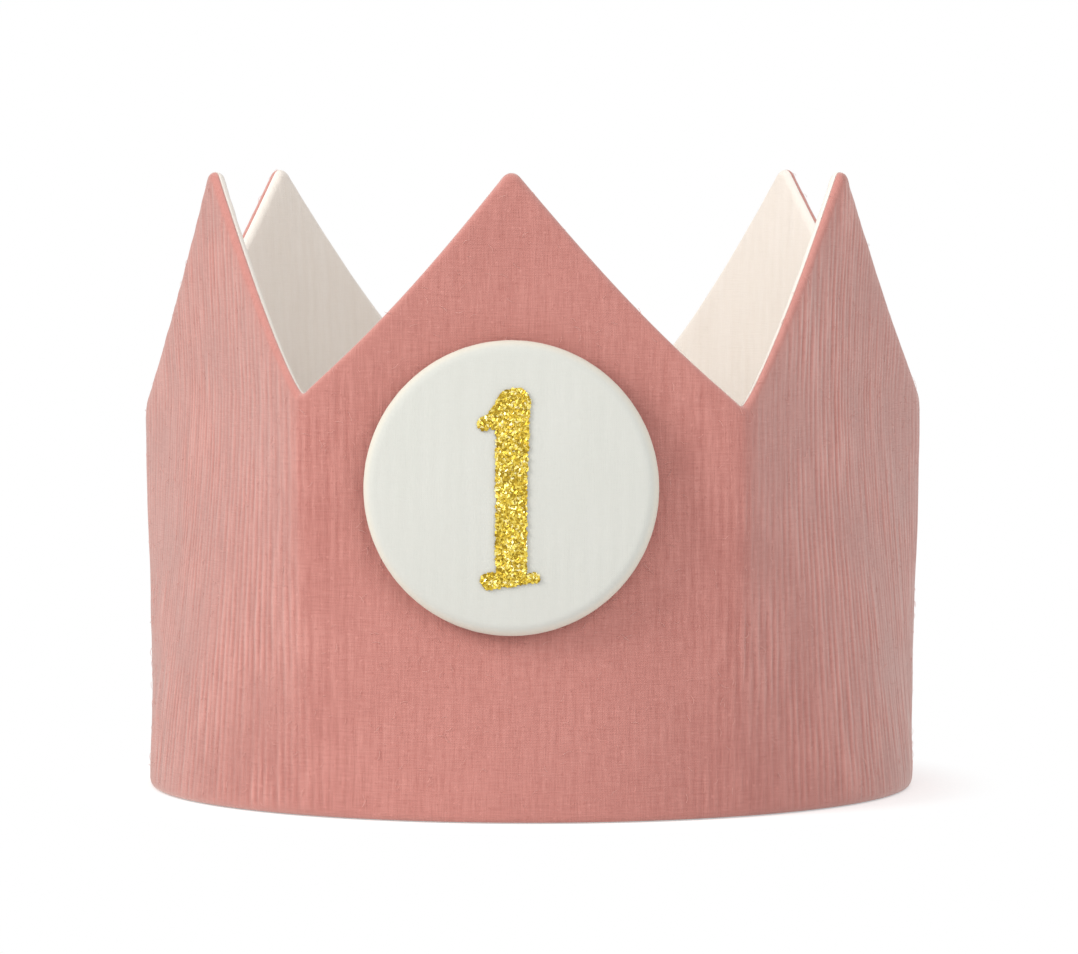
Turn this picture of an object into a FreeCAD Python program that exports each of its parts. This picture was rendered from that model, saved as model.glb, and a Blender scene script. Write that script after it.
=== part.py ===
import FreeCAD, Part
import math
import os
from collections import namedtuple

# A birthday crown of sewn cloth, in millimetres. The origin is the middle of the head opening, level
# with the bottom rim. +Z is up, and the front, where the round badge sits, faces -Y.
# A place along the wall is given as a distance along the rim from the middle of the front, towards +X.

# Plies of the wall, from the outside in, and the air left between two pieces that lie together
cover_ply = 0.7
core_ply = 1.6
lining_ply = 0.6
ply_gap = 0.05

# Round rim at the bottom
head_radius = 77.0  # from the axis to the inside of the wall
back_opening = 47.6  # between the strip's two ends, along the rim
sole_width = 1.2  # flat strip that the wall stands on
end_corner_radius = 3.0  # bottom corners of the strip, at the back
blunt_end = 0.7  # thickness that is left at the strip's rounded ends

# Outline of the points
notch_height = 82.6
apex_height = 129.6  # where the two edges of a point would meet, above its rounded tip
edge_hollow = 0.8  # how far an edge dips below a straight line, half-way up
tip_radius = 2.5
notch_radius = 1.0
# Unevenness of the sewing, from the rear left point round to the rear right one
tip_shift = (1.4, 4.2, -2.3, -3.9, 1.5)
notch_lift = (0.0, -4.0, 1.5, -0.9, -1.9, 0.0)

# Fold of the wall, from the round rim to the flat points
flat_height = 70.0  # where the points become flat
bend_share = 0.2  # softness of that bend, as a share of flat_height
inset_at_notch = 9.1  # how far the middle of a point stands in from the rim, level with the notches
inset_at_tip = 6.7  # the same at the tip
corner_softness = 2.2  # rounding of the upright corner below each notch

# Elastic across the back, caught between the plies at both ends
elastic_width = 30.0
elastic_thickness = 1.2
elastic_low = 9.0  # from the floor to its lower edge
elastic_tuck = 11.0  # length inside each end of the strip
elastic_clearance = 0.15  # between the elastic and the slot in the seam
core_clearance = 0.8  # between the tucked end and the core

# Round badge, measured over its cloth and along its own axis from its back edge
badge_height = 66.0
badge_place = -2.1
badge_radius = 29.25
badge_depth = 4.5
badge_rim_round = 2.6
badge_rise = 1.2  # crown of the domed front
badge_cloth = 0.5
shell_metal = 0.5
cloth_turn_in = 1.8  # height of the cloth's edge inside the shell
back_plate_thickness = 0.8
back_plate_inset = 0.3  # from the back edge to the plate's back face

# Hook and loop patches that hold the badge
patch_radius = 12.5
patch_edge = 0.4  # half the height that is left at the loop patch's two sides
loop_patch_thickness = 1.2
hook_patch_thickness = 1.0
patch_seat = 0.2  # between the loops and the cloth they are sewn to
hook_gap = 0.1

# Glitter numeral, about the middle of the badge
numeral_thickness = 0.35
numeral_gap = 0.03
numeral_top = 19.45
stem_left = -2.8
stem_right = 3.1
stem_spread = 0.6  # how much wider the stem is at its head
head_round = 2.6
foot_bottom = -20.0
foot_left = -5.7
foot_right = 5.8
foot_thickness = 3.1
foot_rise = 1.4  # the foot's underside climbs to the right by this much
foot_round = 0.8  # bulge of the foot's ends
flag_place = -5.25
flag_height = 12.6
flag_round = 1.24
flag_hang = 1.4  # from the flag's middle down to where its underside meets the stem

# How finely the wall is divided
rows = 8
flank_steps = 7
arc_steps = 4
cap_steps = 3
patch_steps = 6
end_shares = (0, 0.16, 0.5, 1)  # sections in the rounded end, as shares of half the wall
hair = 1e-6  # lengths below this count as nothing

wall = cover_ply + core_ply + lining_ply + 2 * ply_gap
rim_radius = head_radius + wall / 2
point_count = len(tip_shift)
half_point = (2 * math.pi * rim_radius - back_opening) / (2 * point_count)
strip_end = point_count * half_point
core_end = elastic_tuck + core_clearance  # from the end of the strip to the end of the core

Corner = namedtuple("Corner", "place height")
Arc = namedtuple("Arc", "start end middle centre up radius")
Station = namedtuple("Station", "place half bottom top stretch")


def edge_slope(a, b, share):
    """Slope of the edge between two corners of the outline, at a share of its length."""
    return (b.height - a.height - 4 * edge_hollow * (1 - 2 * share)) / (b.place - a.place)


def rounding(before, corner, after, radius):
    """The arc of that radius which rounds a corner of the outline and is tangent to both its edges."""
    entering = edge_slope(before, corner, 1)
    leaving = edge_slope(corner, after, 0)
    up = 1 if entering > 0 else -1
    steep_in, steep_out = abs(entering), abs(leaving)
    long_in, long_out = math.hypot(1, steep_in), math.hypot(1, steep_out)
    aside = radius * (long_in - long_out) / (steep_in + steep_out)
    middle = corner.place + aside
    centre = corner.height - up * (radius * long_out + steep_out * aside)
    start = middle - radius * steep_in / long_in
    end = middle + radius * steep_out / long_out
    return Arc(start, end, middle, centre, up, radius)


def outline_corners():
    """Notches and apexes in turn, from the rear left end of the strip round to the rear right end."""
    corners = []
    for i, lift in enumerate(notch_lift):
        corners.append(Corner(2 * i * half_point - strip_end, notch_height + lift))
        if i < point_count:
            middle = (2 * i + 1) * half_point - strip_end
            corners.append(Corner(middle + tip_shift[i], apex_height))
    return corners


def outline_arcs(corners):
    """The arcs at the outline's inner corners: tips and notches in turn."""
    arcs = []
    for i in range(1, len(corners) - 1):
        radius = tip_radius if i % 2 else notch_radius
        arcs.append(rounding(corners[i - 1], corners[i], corners[i + 1], radius))
    return arcs


outline = outline_corners()
arcs = outline_arcs(outline)


def top_height(place):
    """Height of the wall's top edge."""
    for arc in arcs:
        if arc.start <= place <= arc.end:
            return arc.centre + arc.up * math.sqrt(arc.radius**2 - (place - arc.middle) ** 2)
    for a, b in zip(outline, outline[1:]):
        if place <= b.place:
            break
    share = (place - a.place) / (b.place - a.place)
    return a.height + (b.height - a.height) * share - 4 * edge_hollow * share * (1 - share)


def top_stretch(place):
    """Length of the top edge for each millimetre along the rim."""
    step = 0.01
    ahead = min(place + step, strip_end)
    behind = max(place - step, -strip_end)
    return math.hypot(1, (top_height(ahead) - top_height(behind)) / (ahead - behind))


def lean(z):
    """Share of the fold at a height: 0 at the round rim, 1 where the points are flat."""
    rise = z / flat_height
    soft = (math.hypot(1 - rise, bend_share) + 1 - rise) / 2
    start = (math.hypot(1, bend_share) - 1) / 2
    return 1 - soft + start * max(0, 1 - rise)


def wall_radius(place, z):
    """Distance from the axis to the middle of the wall's thickness."""
    if place > math.pi * rim_radius:
        place -= 2 * math.pi * rim_radius
    place = max(-strip_end, min(strip_end, place))
    index = min(point_count - 1, int((place + strip_end) / (2 * half_point)))
    across = abs(place - (2 * index + 1) * half_point + strip_end) / half_point
    soft = corner_softness / half_point
    bent = math.hypot(1, soft) - math.hypot(1 - across, soft)
    climb = max(0, (z - notch_height) / (apex_height - notch_height))
    inset = inset_at_notch + (inset_at_tip - inset_at_notch) * climb
    flat = (rim_radius - inset) / math.cos(bent * half_point / rim_radius)
    return rim_radius + (flat - rim_radius) * lean(z)


def wall_point(place, offset, z):
    """A point of the wall, offset outwards from the middle of its thickness."""
    angle = place / rim_radius
    radius = wall_radius(place, z) + offset
    return FreeCAD.Vector(radius * math.sin(angle), -radius * math.cos(angle), z)


def station(place):
    """The wall's height, thickness and edge slope at one place, with its rounded ends and corners."""
    inward = strip_end - abs(place)
    share = min(1, inward / (wall / 2))
    half = max(blunt_end / 2, wall / 2 * math.sqrt(1 - (1 - share) ** 2))
    corner = max(0, end_corner_radius - inward)
    bottom = end_corner_radius - math.sqrt(end_corner_radius**2 - corner**2)
    return Station(place, half, bottom, top_height(place), top_stretch(place))


def spread(start, end, steps):
    """Evenly spaced numbers from start up to, but not including, end."""
    return [start + (end - start) * i / steps for i in range(steps)]


def strip_stations():
    """Stations along the whole strip, close together round tips, notches and ends."""
    end_zone = [share * wall / 2 for share in end_shares] + [end_corner_radius, core_end]
    end_zone.sort()
    places = [-strip_end + inward for inward in end_zone]
    for arc in arcs:
        places += spread(places[-1], arc.start, flank_steps)[1:]
        places += spread(arc.start, arc.end, arc_steps)
        places.append(arc.end)
    places += spread(places[-1], strip_end - end_zone[-1], flank_steps)[1:]
    places += [strip_end - inward for inward in reversed(end_zone)]
    return [station(place) for place in places]


def rising(at):
    """Heights of the inner rows of a section, between its two caps."""
    low = at.bottom + wall / 2
    high = at.top - wall / 2 * at.stretch
    return [low + (high - low) * i / rows for i in range(rows + 1)]


def skin_path(at, depth):
    """Line that runs in the wall, depth below its surface, from the bottom seam to the top seam.

    Its points are (offset, height), with offset counted from the seam at the middle of the wall."""
    seam = ply_gap / 2
    half = max(seam, at.half - depth)
    cap = wall / 2 - depth
    flat = min(max(0, sole_width / 2 - depth), half / 2)
    heights = rising(at)
    turns = [math.pi / 2 * i / cap_steps for i in range(1, cap_steps)]
    path = [(seam, at.bottom + depth)]
    if flat > 0:
        path.append((flat, at.bottom + depth))
    for turn in turns:
        offset = flat + (half - flat) * math.sin(turn)
        path.append((max(seam, offset), heights[0] - cap * math.cos(turn)))
    path += [(half, height) for height in heights]
    for turn in turns:
        rise = cap * at.stretch * math.sin(turn)
        path.append((max(seam, half * math.cos(turn)), heights[-1] + rise))
    path.append((seam, heights[-1] + cap * at.stretch))
    return path


def closed_wire(points):
    """Polygon through the points and back to the first one."""
    return Part.makePolygon(points + points[:1])


def on_flat_sole(solid):
    """The same solid, with true planes for the faces that it stands on."""
    floor = Part.Plane(FreeCAD.Vector(0, 0, 0), FreeCAD.Vector(0, 0, -1))
    faces = []
    for face in solid.Faces:
        if face.BoundBox.ZMax < hair:
            face = Part.Face(floor, [face.OuterWire])
        faces.append(face)
    return Part.makeSolid(Part.makeShell(faces))


def ply(stations, side, thickness):
    """One cloth of the wall: side is 1 for the outer cloth and -1 for the inner one."""
    wires = []
    for at in stations:
        path = skin_path(at, 0) + skin_path(at, thickness)[::-1]
        wires.append(closed_wire([wall_point(at.place, side * o, z) for o, z in path]))
    return on_flat_sole(Part.makeLoft(wires, True, True))


def core(stations):
    """The firm interlining between the two cloths. It stops short of the seams and the elastic."""
    outside = wall / 2 - cover_ply - ply_gap
    inside = lining_ply + ply_gap - wall / 2
    wires = []
    for at in stations:
        if abs(at.place) > strip_end - core_end + hair:
            continue
        heights = rising(at)
        section = [(outside, z) for z in heights] + [(inside, z) for z in reversed(heights)]
        wires.append(closed_wire([wall_point(at.place, o, z) for o, z in section]))
    return Part.makeLoft(wires, True, True)


def elastic(clearance):
    """The band across the back, grown by a clearance where it is used to cut its slots."""
    half = elastic_thickness / 2 + clearance
    low = elastic_low - clearance
    high = elastic_low + elastic_width + clearance
    heights = spread(low, high, rows) + [high]
    section = [(half, z) for z in heights] + [(-half, z) for z in reversed(heights)]
    start = strip_end - elastic_tuck
    end = strip_end + back_opening + elastic_tuck
    wires = []
    for place in spread(start, end, 2 * flank_steps) + [end]:
        wires.append(closed_wire([wall_point(place, o, z) for o, z in section]))
    return Part.makeLoft(wires, True, True)


def loop_patch():
    """Disc of loops sewn flat on the wall, so that it follows the wall's curve."""
    low = wall / 2 + patch_seat
    wires = []
    for i in range(-patch_steps, patch_steps + 1):
        turn = math.pi / 2 * i / patch_steps
        place = badge_place + patch_radius * math.sin(turn)
        half = max(patch_edge, patch_radius * math.cos(turn))
        heights = spread(badge_height - half, badge_height + half, rows) + [badge_height + half]
        section = [(low + loop_patch_thickness, z) for z in heights]
        section += [(low, z) for z in reversed(heights)]
        wires.append(closed_wire([wall_point(place, o, z) for o, z in section]))
    return Part.makeLoft(wires, True, True)


def badge_seat(loops):
    """Placement of the badge's own frame, with Z outwards and its origin level with the loops' crest.

    The badge is rigid, so it stands parallel to the wall above and below its rim."""
    low = wall_point(badge_place, wall / 2, badge_height - badge_radius)
    high = wall_point(badge_place, wall / 2, badge_height + badge_radius)
    left = wall_point(badge_place - badge_radius, wall / 2, badge_height)
    right = wall_point(badge_place + badge_radius, wall / 2, badge_height)
    up = high - low
    outward = (right - left).cross(up).normalize()
    middle = (low + high) * 0.5
    crest = max((corner.Point - middle).dot(outward) for corner in loops.Vertexes)
    turn = FreeCAD.Rotation(up.cross(outward), up, outward, "ZYX")
    return FreeCAD.Placement(middle + outward * crest, turn)


def chain_face(chain, point):
    """Flat face inside a chain of edges: two places make a line and three an arc.

    point turns a place, given as two numbers, into a point in space."""
    edges = []
    for piece in chain:
        points = [point(a, b) for a, b in piece]
        edges.append(Part.Arc(*points).toShape() if len(points) == 3 else Part.makeLine(*points))
    return Part.Face(Part.Wire(edges))


def turned(chain):
    """Solid of revolution about the badge's axis, from a chain of (radius, height) edges."""
    face = chain_face(chain, lambda radius, height: FreeCAD.Vector(radius, 0, height))
    return face.revolve(FreeCAD.Vector(0, 0, 0), FreeCAD.Vector(0, 0, 1), 360)


def disc(radius, low, thickness):
    """Flat disc on the badge's axis."""
    return Part.makeCylinder(radius, thickness, FreeCAD.Vector(0, 0, low))


# Heights along the badge's axis, from the crest of the loops
plate_low = hook_gap + hook_patch_thickness + ply_gap
badge_low = plate_low - back_plate_inset
fold_radius = badge_cloth + ply_gap + shell_metal / 2  # of the cloth round the shell's edge
rim_low = badge_low + fold_radius

# Circles of the badge's front: the rim's round, and the sphere of the dome tangent to it
rim_centre = (badge_radius - badge_rim_round, badge_low + badge_depth - badge_rim_round)
dome_top = badge_low + badge_depth + badge_rise
dome_centre = (
    (dome_top - badge_rim_round) ** 2 - rim_centre[0] ** 2 - rim_centre[1] ** 2
) / (2 * badge_rise)
dome_radius = dome_top - dome_centre


def front_path(depth, low):
    """Edges of the badge's front and side, depth below its cloth's surface, from low up to the axis."""
    tilt = math.atan2(rim_centre[0], rim_centre[1] - dome_centre)
    half_turn = (math.pi / 2 + tilt) / 2
    round_radius = badge_rim_round - depth
    side = badge_radius - depth

    def on_rim(turn):
        return (
            rim_centre[0] + round_radius * math.sin(turn),
            rim_centre[1] + round_radius * math.cos(turn),
        )

    def on_dome(turn):
        reach = dome_radius - depth
        return (reach * math.sin(turn), dome_centre + reach * math.cos(turn))

    return [
        [(side, low), on_rim(math.pi / 2)],
        [on_rim(math.pi / 2), on_rim(half_turn), on_rim(tilt)],
        [on_dome(tilt), on_dome(tilt / 2), on_dome(0)],
    ]


def back_to(path):
    """The same chain of edges, run the other way."""
    return [piece[::-1] for piece in reversed(path)]


def badge_cover():
    """Cloth over the shell, folded round its edge and turned up inside it."""
    outer = front_path(0, rim_low)
    inner = back_to(front_path(badge_cloth, rim_low))
    middle = badge_radius - fold_radius
    small = fold_radius - badge_cloth
    turn_top = badge_low + cloth_turn_in
    leg_in = middle - fold_radius
    leg_out = middle - small
    return turned(
        outer
        + [[outer[-1][-1], inner[0][0]]]
        + inner
        + [
            [(middle + small, rim_low), (middle, rim_low - small), (leg_out, rim_low)],
            [(leg_out, rim_low), (leg_out, turn_top)],
            [(leg_out, turn_top), (leg_in, turn_top)],
            [(leg_in, turn_top), (leg_in, rim_low)],
            [(leg_in, rim_low), (middle, badge_low), (badge_radius, rim_low)],
        ]
    )


def badge_shell():
    """Pressed metal dome under the cloth."""
    outer = front_path(badge_cloth + ply_gap, rim_low)
    inner = back_to(front_path(badge_cloth + ply_gap + shell_metal, rim_low))
    return turned(
        outer + [[outer[-1][-1], inner[0][0]]] + inner + [[inner[-1][-1], outer[0][0]]]
    )


def back_plate():
    """Disc that closes the shell's mouth and holds the turned-in cloth."""
    radius = badge_radius - 2 * fold_radius - ply_gap
    return disc(radius, plate_low, back_plate_thickness)


def numeral_outline():
    """Outline of the figure one, in the plane across the badge's axis, from under its flag and round."""
    flag_rise = flag_round * math.sqrt(3) / 2
    flag_low = (flag_place + flag_rise, flag_height - flag_round / 2)
    flag_left = (flag_place - flag_round, flag_height)
    flag_top = (flag_place - flag_round / 2, flag_height + flag_rise)
    under_flag = (stem_left, flag_height - flag_hang)
    hollow = (stem_left - flag_round, flag_height + 2 * flag_round)
    crook = (stem_left, numeral_top - head_round)
    brow = (stem_left + head_round / 2, numeral_top - head_round / 4)
    head_left = (stem_right - head_round, numeral_top)
    head_right = stem_right + stem_spread
    head_corner = (head_right - head_round / 4, numeral_top - head_round / 4)
    head_side = (head_right, numeral_top - head_round)
    waist = (stem_right, 0)
    foot_top = foot_bottom + foot_thickness
    foot_low = foot_bottom + foot_rise
    right_top = (foot_right - foot_round, foot_top)
    right_end = (foot_right, (foot_top + foot_low) / 2)
    right_low = (foot_right - foot_round, foot_low)
    left_low = (foot_left + foot_round, foot_bottom)
    left_end = (foot_left, (foot_top + foot_bottom) / 2)
    left_top = (foot_left + foot_round, foot_top)
    return [
        [under_flag, flag_low],
        [flag_low, flag_left, flag_top],
        [flag_top, hollow, crook],
        [crook, brow, head_left],
        [head_left, head_corner, head_side],
        [head_side, waist],
        [waist, (stem_right, foot_top)],
        [(stem_right, foot_top), right_top],
        [right_top, right_end, right_low],
        [right_low, left_low],
        [left_low, left_end, left_top],
        [left_top, (stem_left, foot_top)],
        [(stem_left, foot_top), under_flag],
    ]


def numeral_one():
    """Glitter figure that follows the badge's dome."""
    face = chain_face(numeral_outline(), lambda x, y: FreeCAD.Vector(x, y, badge_low))
    prism = face.extrude(FreeCAD.Vector(0, 0, 2 * badge_depth))
    centre = FreeCAD.Vector(0, 0, dome_centre)
    over = Part.makeSphere(dome_radius + numeral_gap + numeral_thickness, centre)
    under = Part.makeSphere(dome_radius + numeral_gap, centre)
    return prism.common(over).cut(under)


def one_solid(shape):
    """The single solid in a shape, without the compound that a cut leaves round it."""
    return shape.Solids[0] if len(shape.Solids) == 1 else shape


def build():
    """Every piece of the crown by its name."""
    stations = strip_stations()
    slots = elastic(elastic_clearance)
    loops = loop_patch()
    seat = badge_seat(loops)
    pieces = {
        "outer_cover": ply(stations, 1, cover_ply).cut(slots),
        "inner_lining": ply(stations, -1, lining_ply).cut(slots),
        "stiffener": core(stations),
        "back_elastic": elastic(0),
        "crown_loop_patch": loops,
    }
    on_badge = {
        "badge_hook_patch": disc(patch_radius, hook_gap, hook_patch_thickness),
        "badge_back_plate": back_plate(),
        "badge_shell": badge_shell(),
        "badge_cover": badge_cover(),
        "numeral_one": numeral_one(),
    }
    for name, shape in on_badge.items():
        pieces[name] = shape.transformed(seat.toMatrix())
    return {name: one_solid(shape) for name, shape in pieces.items()}


os.makedirs("parts", exist_ok=True)
for name, shape in build().items():
    shape.exportStep("parts/" + name + ".step")
    print(name, "solids", len(shape.Solids), "volume", round(shape.Volume, 1), "valid", shape.isValid())
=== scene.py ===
"""Sewn birthday crown with a round number badge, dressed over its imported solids.

Shapes are worked out in millimetres, in the frame of the solids, and become metres in make_object.
A place along the wall is the distance along the rim from the middle of the front, towards +X.
"""

import logging
import math
import sys
from dataclasses import dataclass, field
from enum import Enum
from typing import NamedTuple, Sequence

import bmesh
import bpy
import numpy as np
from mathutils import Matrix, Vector


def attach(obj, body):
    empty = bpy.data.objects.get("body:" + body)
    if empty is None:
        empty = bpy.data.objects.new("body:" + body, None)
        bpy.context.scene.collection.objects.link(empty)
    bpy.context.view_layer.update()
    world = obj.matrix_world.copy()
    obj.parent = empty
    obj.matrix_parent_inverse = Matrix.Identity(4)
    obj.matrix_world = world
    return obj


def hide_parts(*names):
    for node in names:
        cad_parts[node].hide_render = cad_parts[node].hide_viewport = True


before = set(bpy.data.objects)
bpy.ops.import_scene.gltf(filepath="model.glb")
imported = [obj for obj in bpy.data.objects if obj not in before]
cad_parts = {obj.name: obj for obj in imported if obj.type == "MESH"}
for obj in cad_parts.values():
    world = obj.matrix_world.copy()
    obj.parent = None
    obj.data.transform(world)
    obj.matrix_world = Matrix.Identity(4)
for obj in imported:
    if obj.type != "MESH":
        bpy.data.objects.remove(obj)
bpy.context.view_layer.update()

LOG = logging.getLogger("crown")
MM = 0.001
QUARTER_TURN = math.pi / 2
WHITE = "#FFFFFF"
# Shares of a quarter turn at which a rounded edge has its points
ROUND_SHARES = (0.1, 0.22, 0.36, 0.5, 0.64, 0.78, 0.9)
# The same for one more point, next to the top seam
LAST_SHARE = 0.965
# Shares of the wall's half thickness, inwards from an end, at which its round has columns
END_SHARES = (0, 0.06, 0.16, 0.32, 0.5, 0.72, 1)


# ---------------------------------------------------------------- small tools


def linear(code: str) -> tuple[float, float, float, float]:
    """Linear colour, with full alpha, of an sRGB hex value such as '#CC867A'."""
    shares = [int(code[i : i + 2], 16) / 255 for i in (1, 3, 5)]
    red, green, blue = (s / 12.92 if s <= 0.04045 else ((s + 0.055) / 1.055) ** 2.4 for s in shares)
    return (red, green, blue, 1.0)


def add(
    tree: bpy.types.NodeTree, kind: str, inputs: dict | None = None, **settings: object
) -> bpy.types.Node:
    """Adds a node with its settings, values and links.

    Args:
        tree: the tree that the node goes into.
        kind: the node's type.
        inputs: by socket name or index, a value or the output that is linked to it.
        settings: the node's own properties.

    Returns:
        The new node.
    """
    node = tree.nodes.new(kind)
    for name, value in settings.items():
        setattr(node, name, value)
    for key, value in (inputs or {}).items():
        if isinstance(value, bpy.types.NodeSocket):
            tree.links.new(value, node.inputs[key])
        else:
            node.inputs[key].default_value = value
    return node


def new_material(name: str) -> tuple[bpy.types.Material, bpy.types.Node]:
    """A node material with only a Principled shader.

    Args:
        name: the material's name.

    Returns:
        The material, and its shader.
    """
    material = bpy.data.materials.new(name)
    material.use_nodes = True
    tree = material.node_tree
    tree.nodes.clear()
    shader = add(tree, "ShaderNodeBsdfPrincipled")
    add(tree, "ShaderNodeOutputMaterial", {"Surface": shader.outputs["BSDF"]})
    return material, shader


def summed(
    tree: bpy.types.NodeTree, parts: Sequence[tuple[bpy.types.NodeSocket, float]], start: float
) -> bpy.types.NodeSocket:
    """Sum of textures, each counted from its middle value.

    Args:
        tree: the tree that the sum is made in.
        parts: each texture's output, between 0 and 1, with its gain.
        start: what the sum is where each texture is at its middle.

    Returns:
        The output that gives the sum.
    """
    total = start - sum(gain for _, gain in parts) / 2
    for output, gain in parts:
        step = add(
            tree, "ShaderNodeMath", {0: output, 1: gain, 2: total}, operation="MULTIPLY_ADD"
        )
        total = step.outputs[0]
    return total


def layered(
    tree: bpy.types.NodeTree,
    ground: Sequence[float],
    layers: Sequence[tuple[bpy.types.NodeSocket, Sequence[float]]],
) -> bpy.types.NodeSocket:
    """Colour of a ground with other colours laid over it.

    Args:
        tree: the tree that the colour is made in.
        ground: the colour of the ground.
        layers: from the lowest up, the share by which each covers what is below, between 0
            and 1, and its colour.

    Returns:
        The output that gives the colour.
    """
    colour = ground
    for share, over in layers:
        inputs = {0: share, 6: colour, 7: over}
        layer = add(tree, "ShaderNodeMix", inputs, data_type="RGBA", clamp_factor=True)
        colour = layer.outputs[2]
    return colour


def eased(low: float, high: float, value: np.ndarray) -> np.ndarray:
    """Smooth step from 0 at low to 1 at high."""
    share = np.clip((value - low) / (high - low), 0, 1)
    return share * share * (3 - 2 * share)


def uneven(across: np.ndarray, up: np.ndarray, seed: int) -> np.ndarray:
    """Slow unevenness between 0 and 1.

    Args:
        across: places, counted in typical wavelengths.
        up: the same the other way.
        seed: fixes the random waves.

    Returns:
        The unevenness at each place.
    """
    waves = 8
    draw = np.random.default_rng(seed)
    total = np.zeros(np.broadcast(across, up).shape)
    for _ in range(waves):
        heading, phase = draw.uniform(0, 2 * math.pi, 2)
        pace = 2 * math.pi * draw.uniform(0.6, 1.5)
        line = across * math.cos(heading) + up * math.sin(heading)
        total = total + np.sin(pace * line + phase)
    return np.clip(0.5 + total / (2.4 * math.sqrt(waves)), 0, 1)


def make_object(
    name: str,
    points: np.ndarray,
    faces: Sequence[Sequence[int]],
    vectors: dict[str, np.ndarray] | None = None,
    edges: Sequence[tuple[int, int]] = (),
) -> bpy.types.Object:
    """Mesh object at the origin from points in millimetres, closed and facing outwards.

    Args:
        name: the object's name.
        points: one row of three numbers for each point.
        faces: the points of each face, in turn.
        vectors: point attributes of three numbers, by name.
        edges: loose edges, for a line.

    Returns:
        The object, linked to the scene.
    """
    mesh = bpy.data.meshes.new(name)
    mesh.from_pydata((points * MM).tolist(), list(edges), list(faces))
    for label, values in (vectors or {}).items():
        layer = mesh.attributes.new(label, "FLOAT_VECTOR", "POINT")
        layer.data.foreach_set("vector", values.astype(np.float32).ravel())
    if faces:
        shape = bmesh.new()
        shape.from_mesh(mesh)
        bmesh.ops.remove_doubles(shape, verts=shape.verts, dist=1e-7)
        if shape.calc_volume(signed=True) < 0:
            bmesh.ops.reverse_faces(shape, faces=shape.faces)
        for face in shape.faces:
            face.smooth = True
        shape.to_mesh(mesh)
        shape.free()
    made = bpy.data.objects.new(name, mesh)
    bpy.context.scene.collection.objects.link(made)
    return made


def tube_faces(columns: int, ring: int) -> list[tuple[int, ...]]:
    """Faces of a tube of rings, closed by one face at each end.

    Args:
        columns: how many rings there are.
        ring: how many points a ring has.

    Returns:
        The points of each face, in turn.
    """
    here = np.arange(ring)
    after = (here + 1) % ring
    base = np.arange(columns - 1)[:, None] * ring
    quads = np.stack([base + here, base + after, base + ring + after, base + ring + here], -1)
    faces = [tuple(quad) for quad in quads.reshape(-1, 4).tolist()]
    end = (columns - 1) * ring
    return faces + [tuple(range(ring - 1, -1, -1)), tuple(range(end, end + ring))]


def new_tree(name: str, sizes: dict[str, float]) -> tuple[bpy.types.NodeTree, bpy.types.Node]:
    """A geometry tree with a named input for each size.

    Args:
        name: the tree's name.
        sizes: a value for each input, by name, which also gives its kind.

    Returns:
        The tree, and its input node.
    """
    tree = bpy.data.node_groups.new(name, "GeometryNodeTree")
    tree.interface.new_socket("Geometry", in_out="INPUT", socket_type="NodeSocketGeometry")
    for label, value in sizes.items():
        kind = "NodeSocketInt" if isinstance(value, int) else "NodeSocketFloat"
        tree.interface.new_socket(label, in_out="INPUT", socket_type=kind)
    tree.interface.new_socket("Geometry", in_out="OUTPUT", socket_type="NodeSocketGeometry")
    return tree, tree.nodes.new("NodeGroupInput")


def end_tree(
    tree: bpy.types.NodeTree, geometry: bpy.types.NodeSocket, material: bpy.types.Material
) -> None:
    """Ends a geometry tree in real geometry with its material.

    Args:
        tree: the tree.
        geometry: what the tree has made.
        material: the finish of that.
    """
    real = add(tree, "GeometryNodeRealizeInstances", {"Geometry": geometry})
    dressed = add(
        tree, "GeometryNodeSetMaterial", {"Geometry": real.outputs[0], "Material": material}
    )
    add(tree, "NodeGroupOutput", {"Geometry": dressed.outputs[0]})


def run_tree(made: bpy.types.Object, tree: bpy.types.NodeTree, sizes: dict[str, float]) -> None:
    """Runs a geometry tree on an object and keeps the result as its plain mesh.

    Args:
        made: the object.
        tree: the tree.
        sizes: the value of each named input.
    """
    modifier = made.modifiers.new(tree.name, "NODES")
    modifier.node_group = tree
    for item in tree.interface.items_tree:
        if item.in_out == "INPUT" and item.name in sizes:
            modifier[item.identifier] = sizes[item.name]
    bpy.context.view_layer.update()
    view = bpy.context.evaluated_depsgraph_get()
    result = bpy.data.meshes.new_from_object(
        made.evaluated_get(view), preserve_all_data_layers=True, depsgraph=view
    )
    made.modifiers.remove(modifier)
    before = made.data
    made.data = result
    result.name = before.name
    bpy.data.meshes.remove(before)


def ground_object(
    name: str, mesh: bpy.types.Mesh, faces: Sequence[tuple[int, ...]]
) -> bpy.types.Object:
    """Object with some faces of a finished mesh, for small pieces to be strewn on.

    Args:
        name: the object's name.
        mesh: the mesh.
        faces: the points of each face that is kept.

    Returns:
        The object, linked to the scene.
    """
    made = make_object(name, np.zeros((0, 3)), [])
    made.data.from_pydata([tuple(point.co) for point in mesh.vertices], [], list(faces))
    return made


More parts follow.
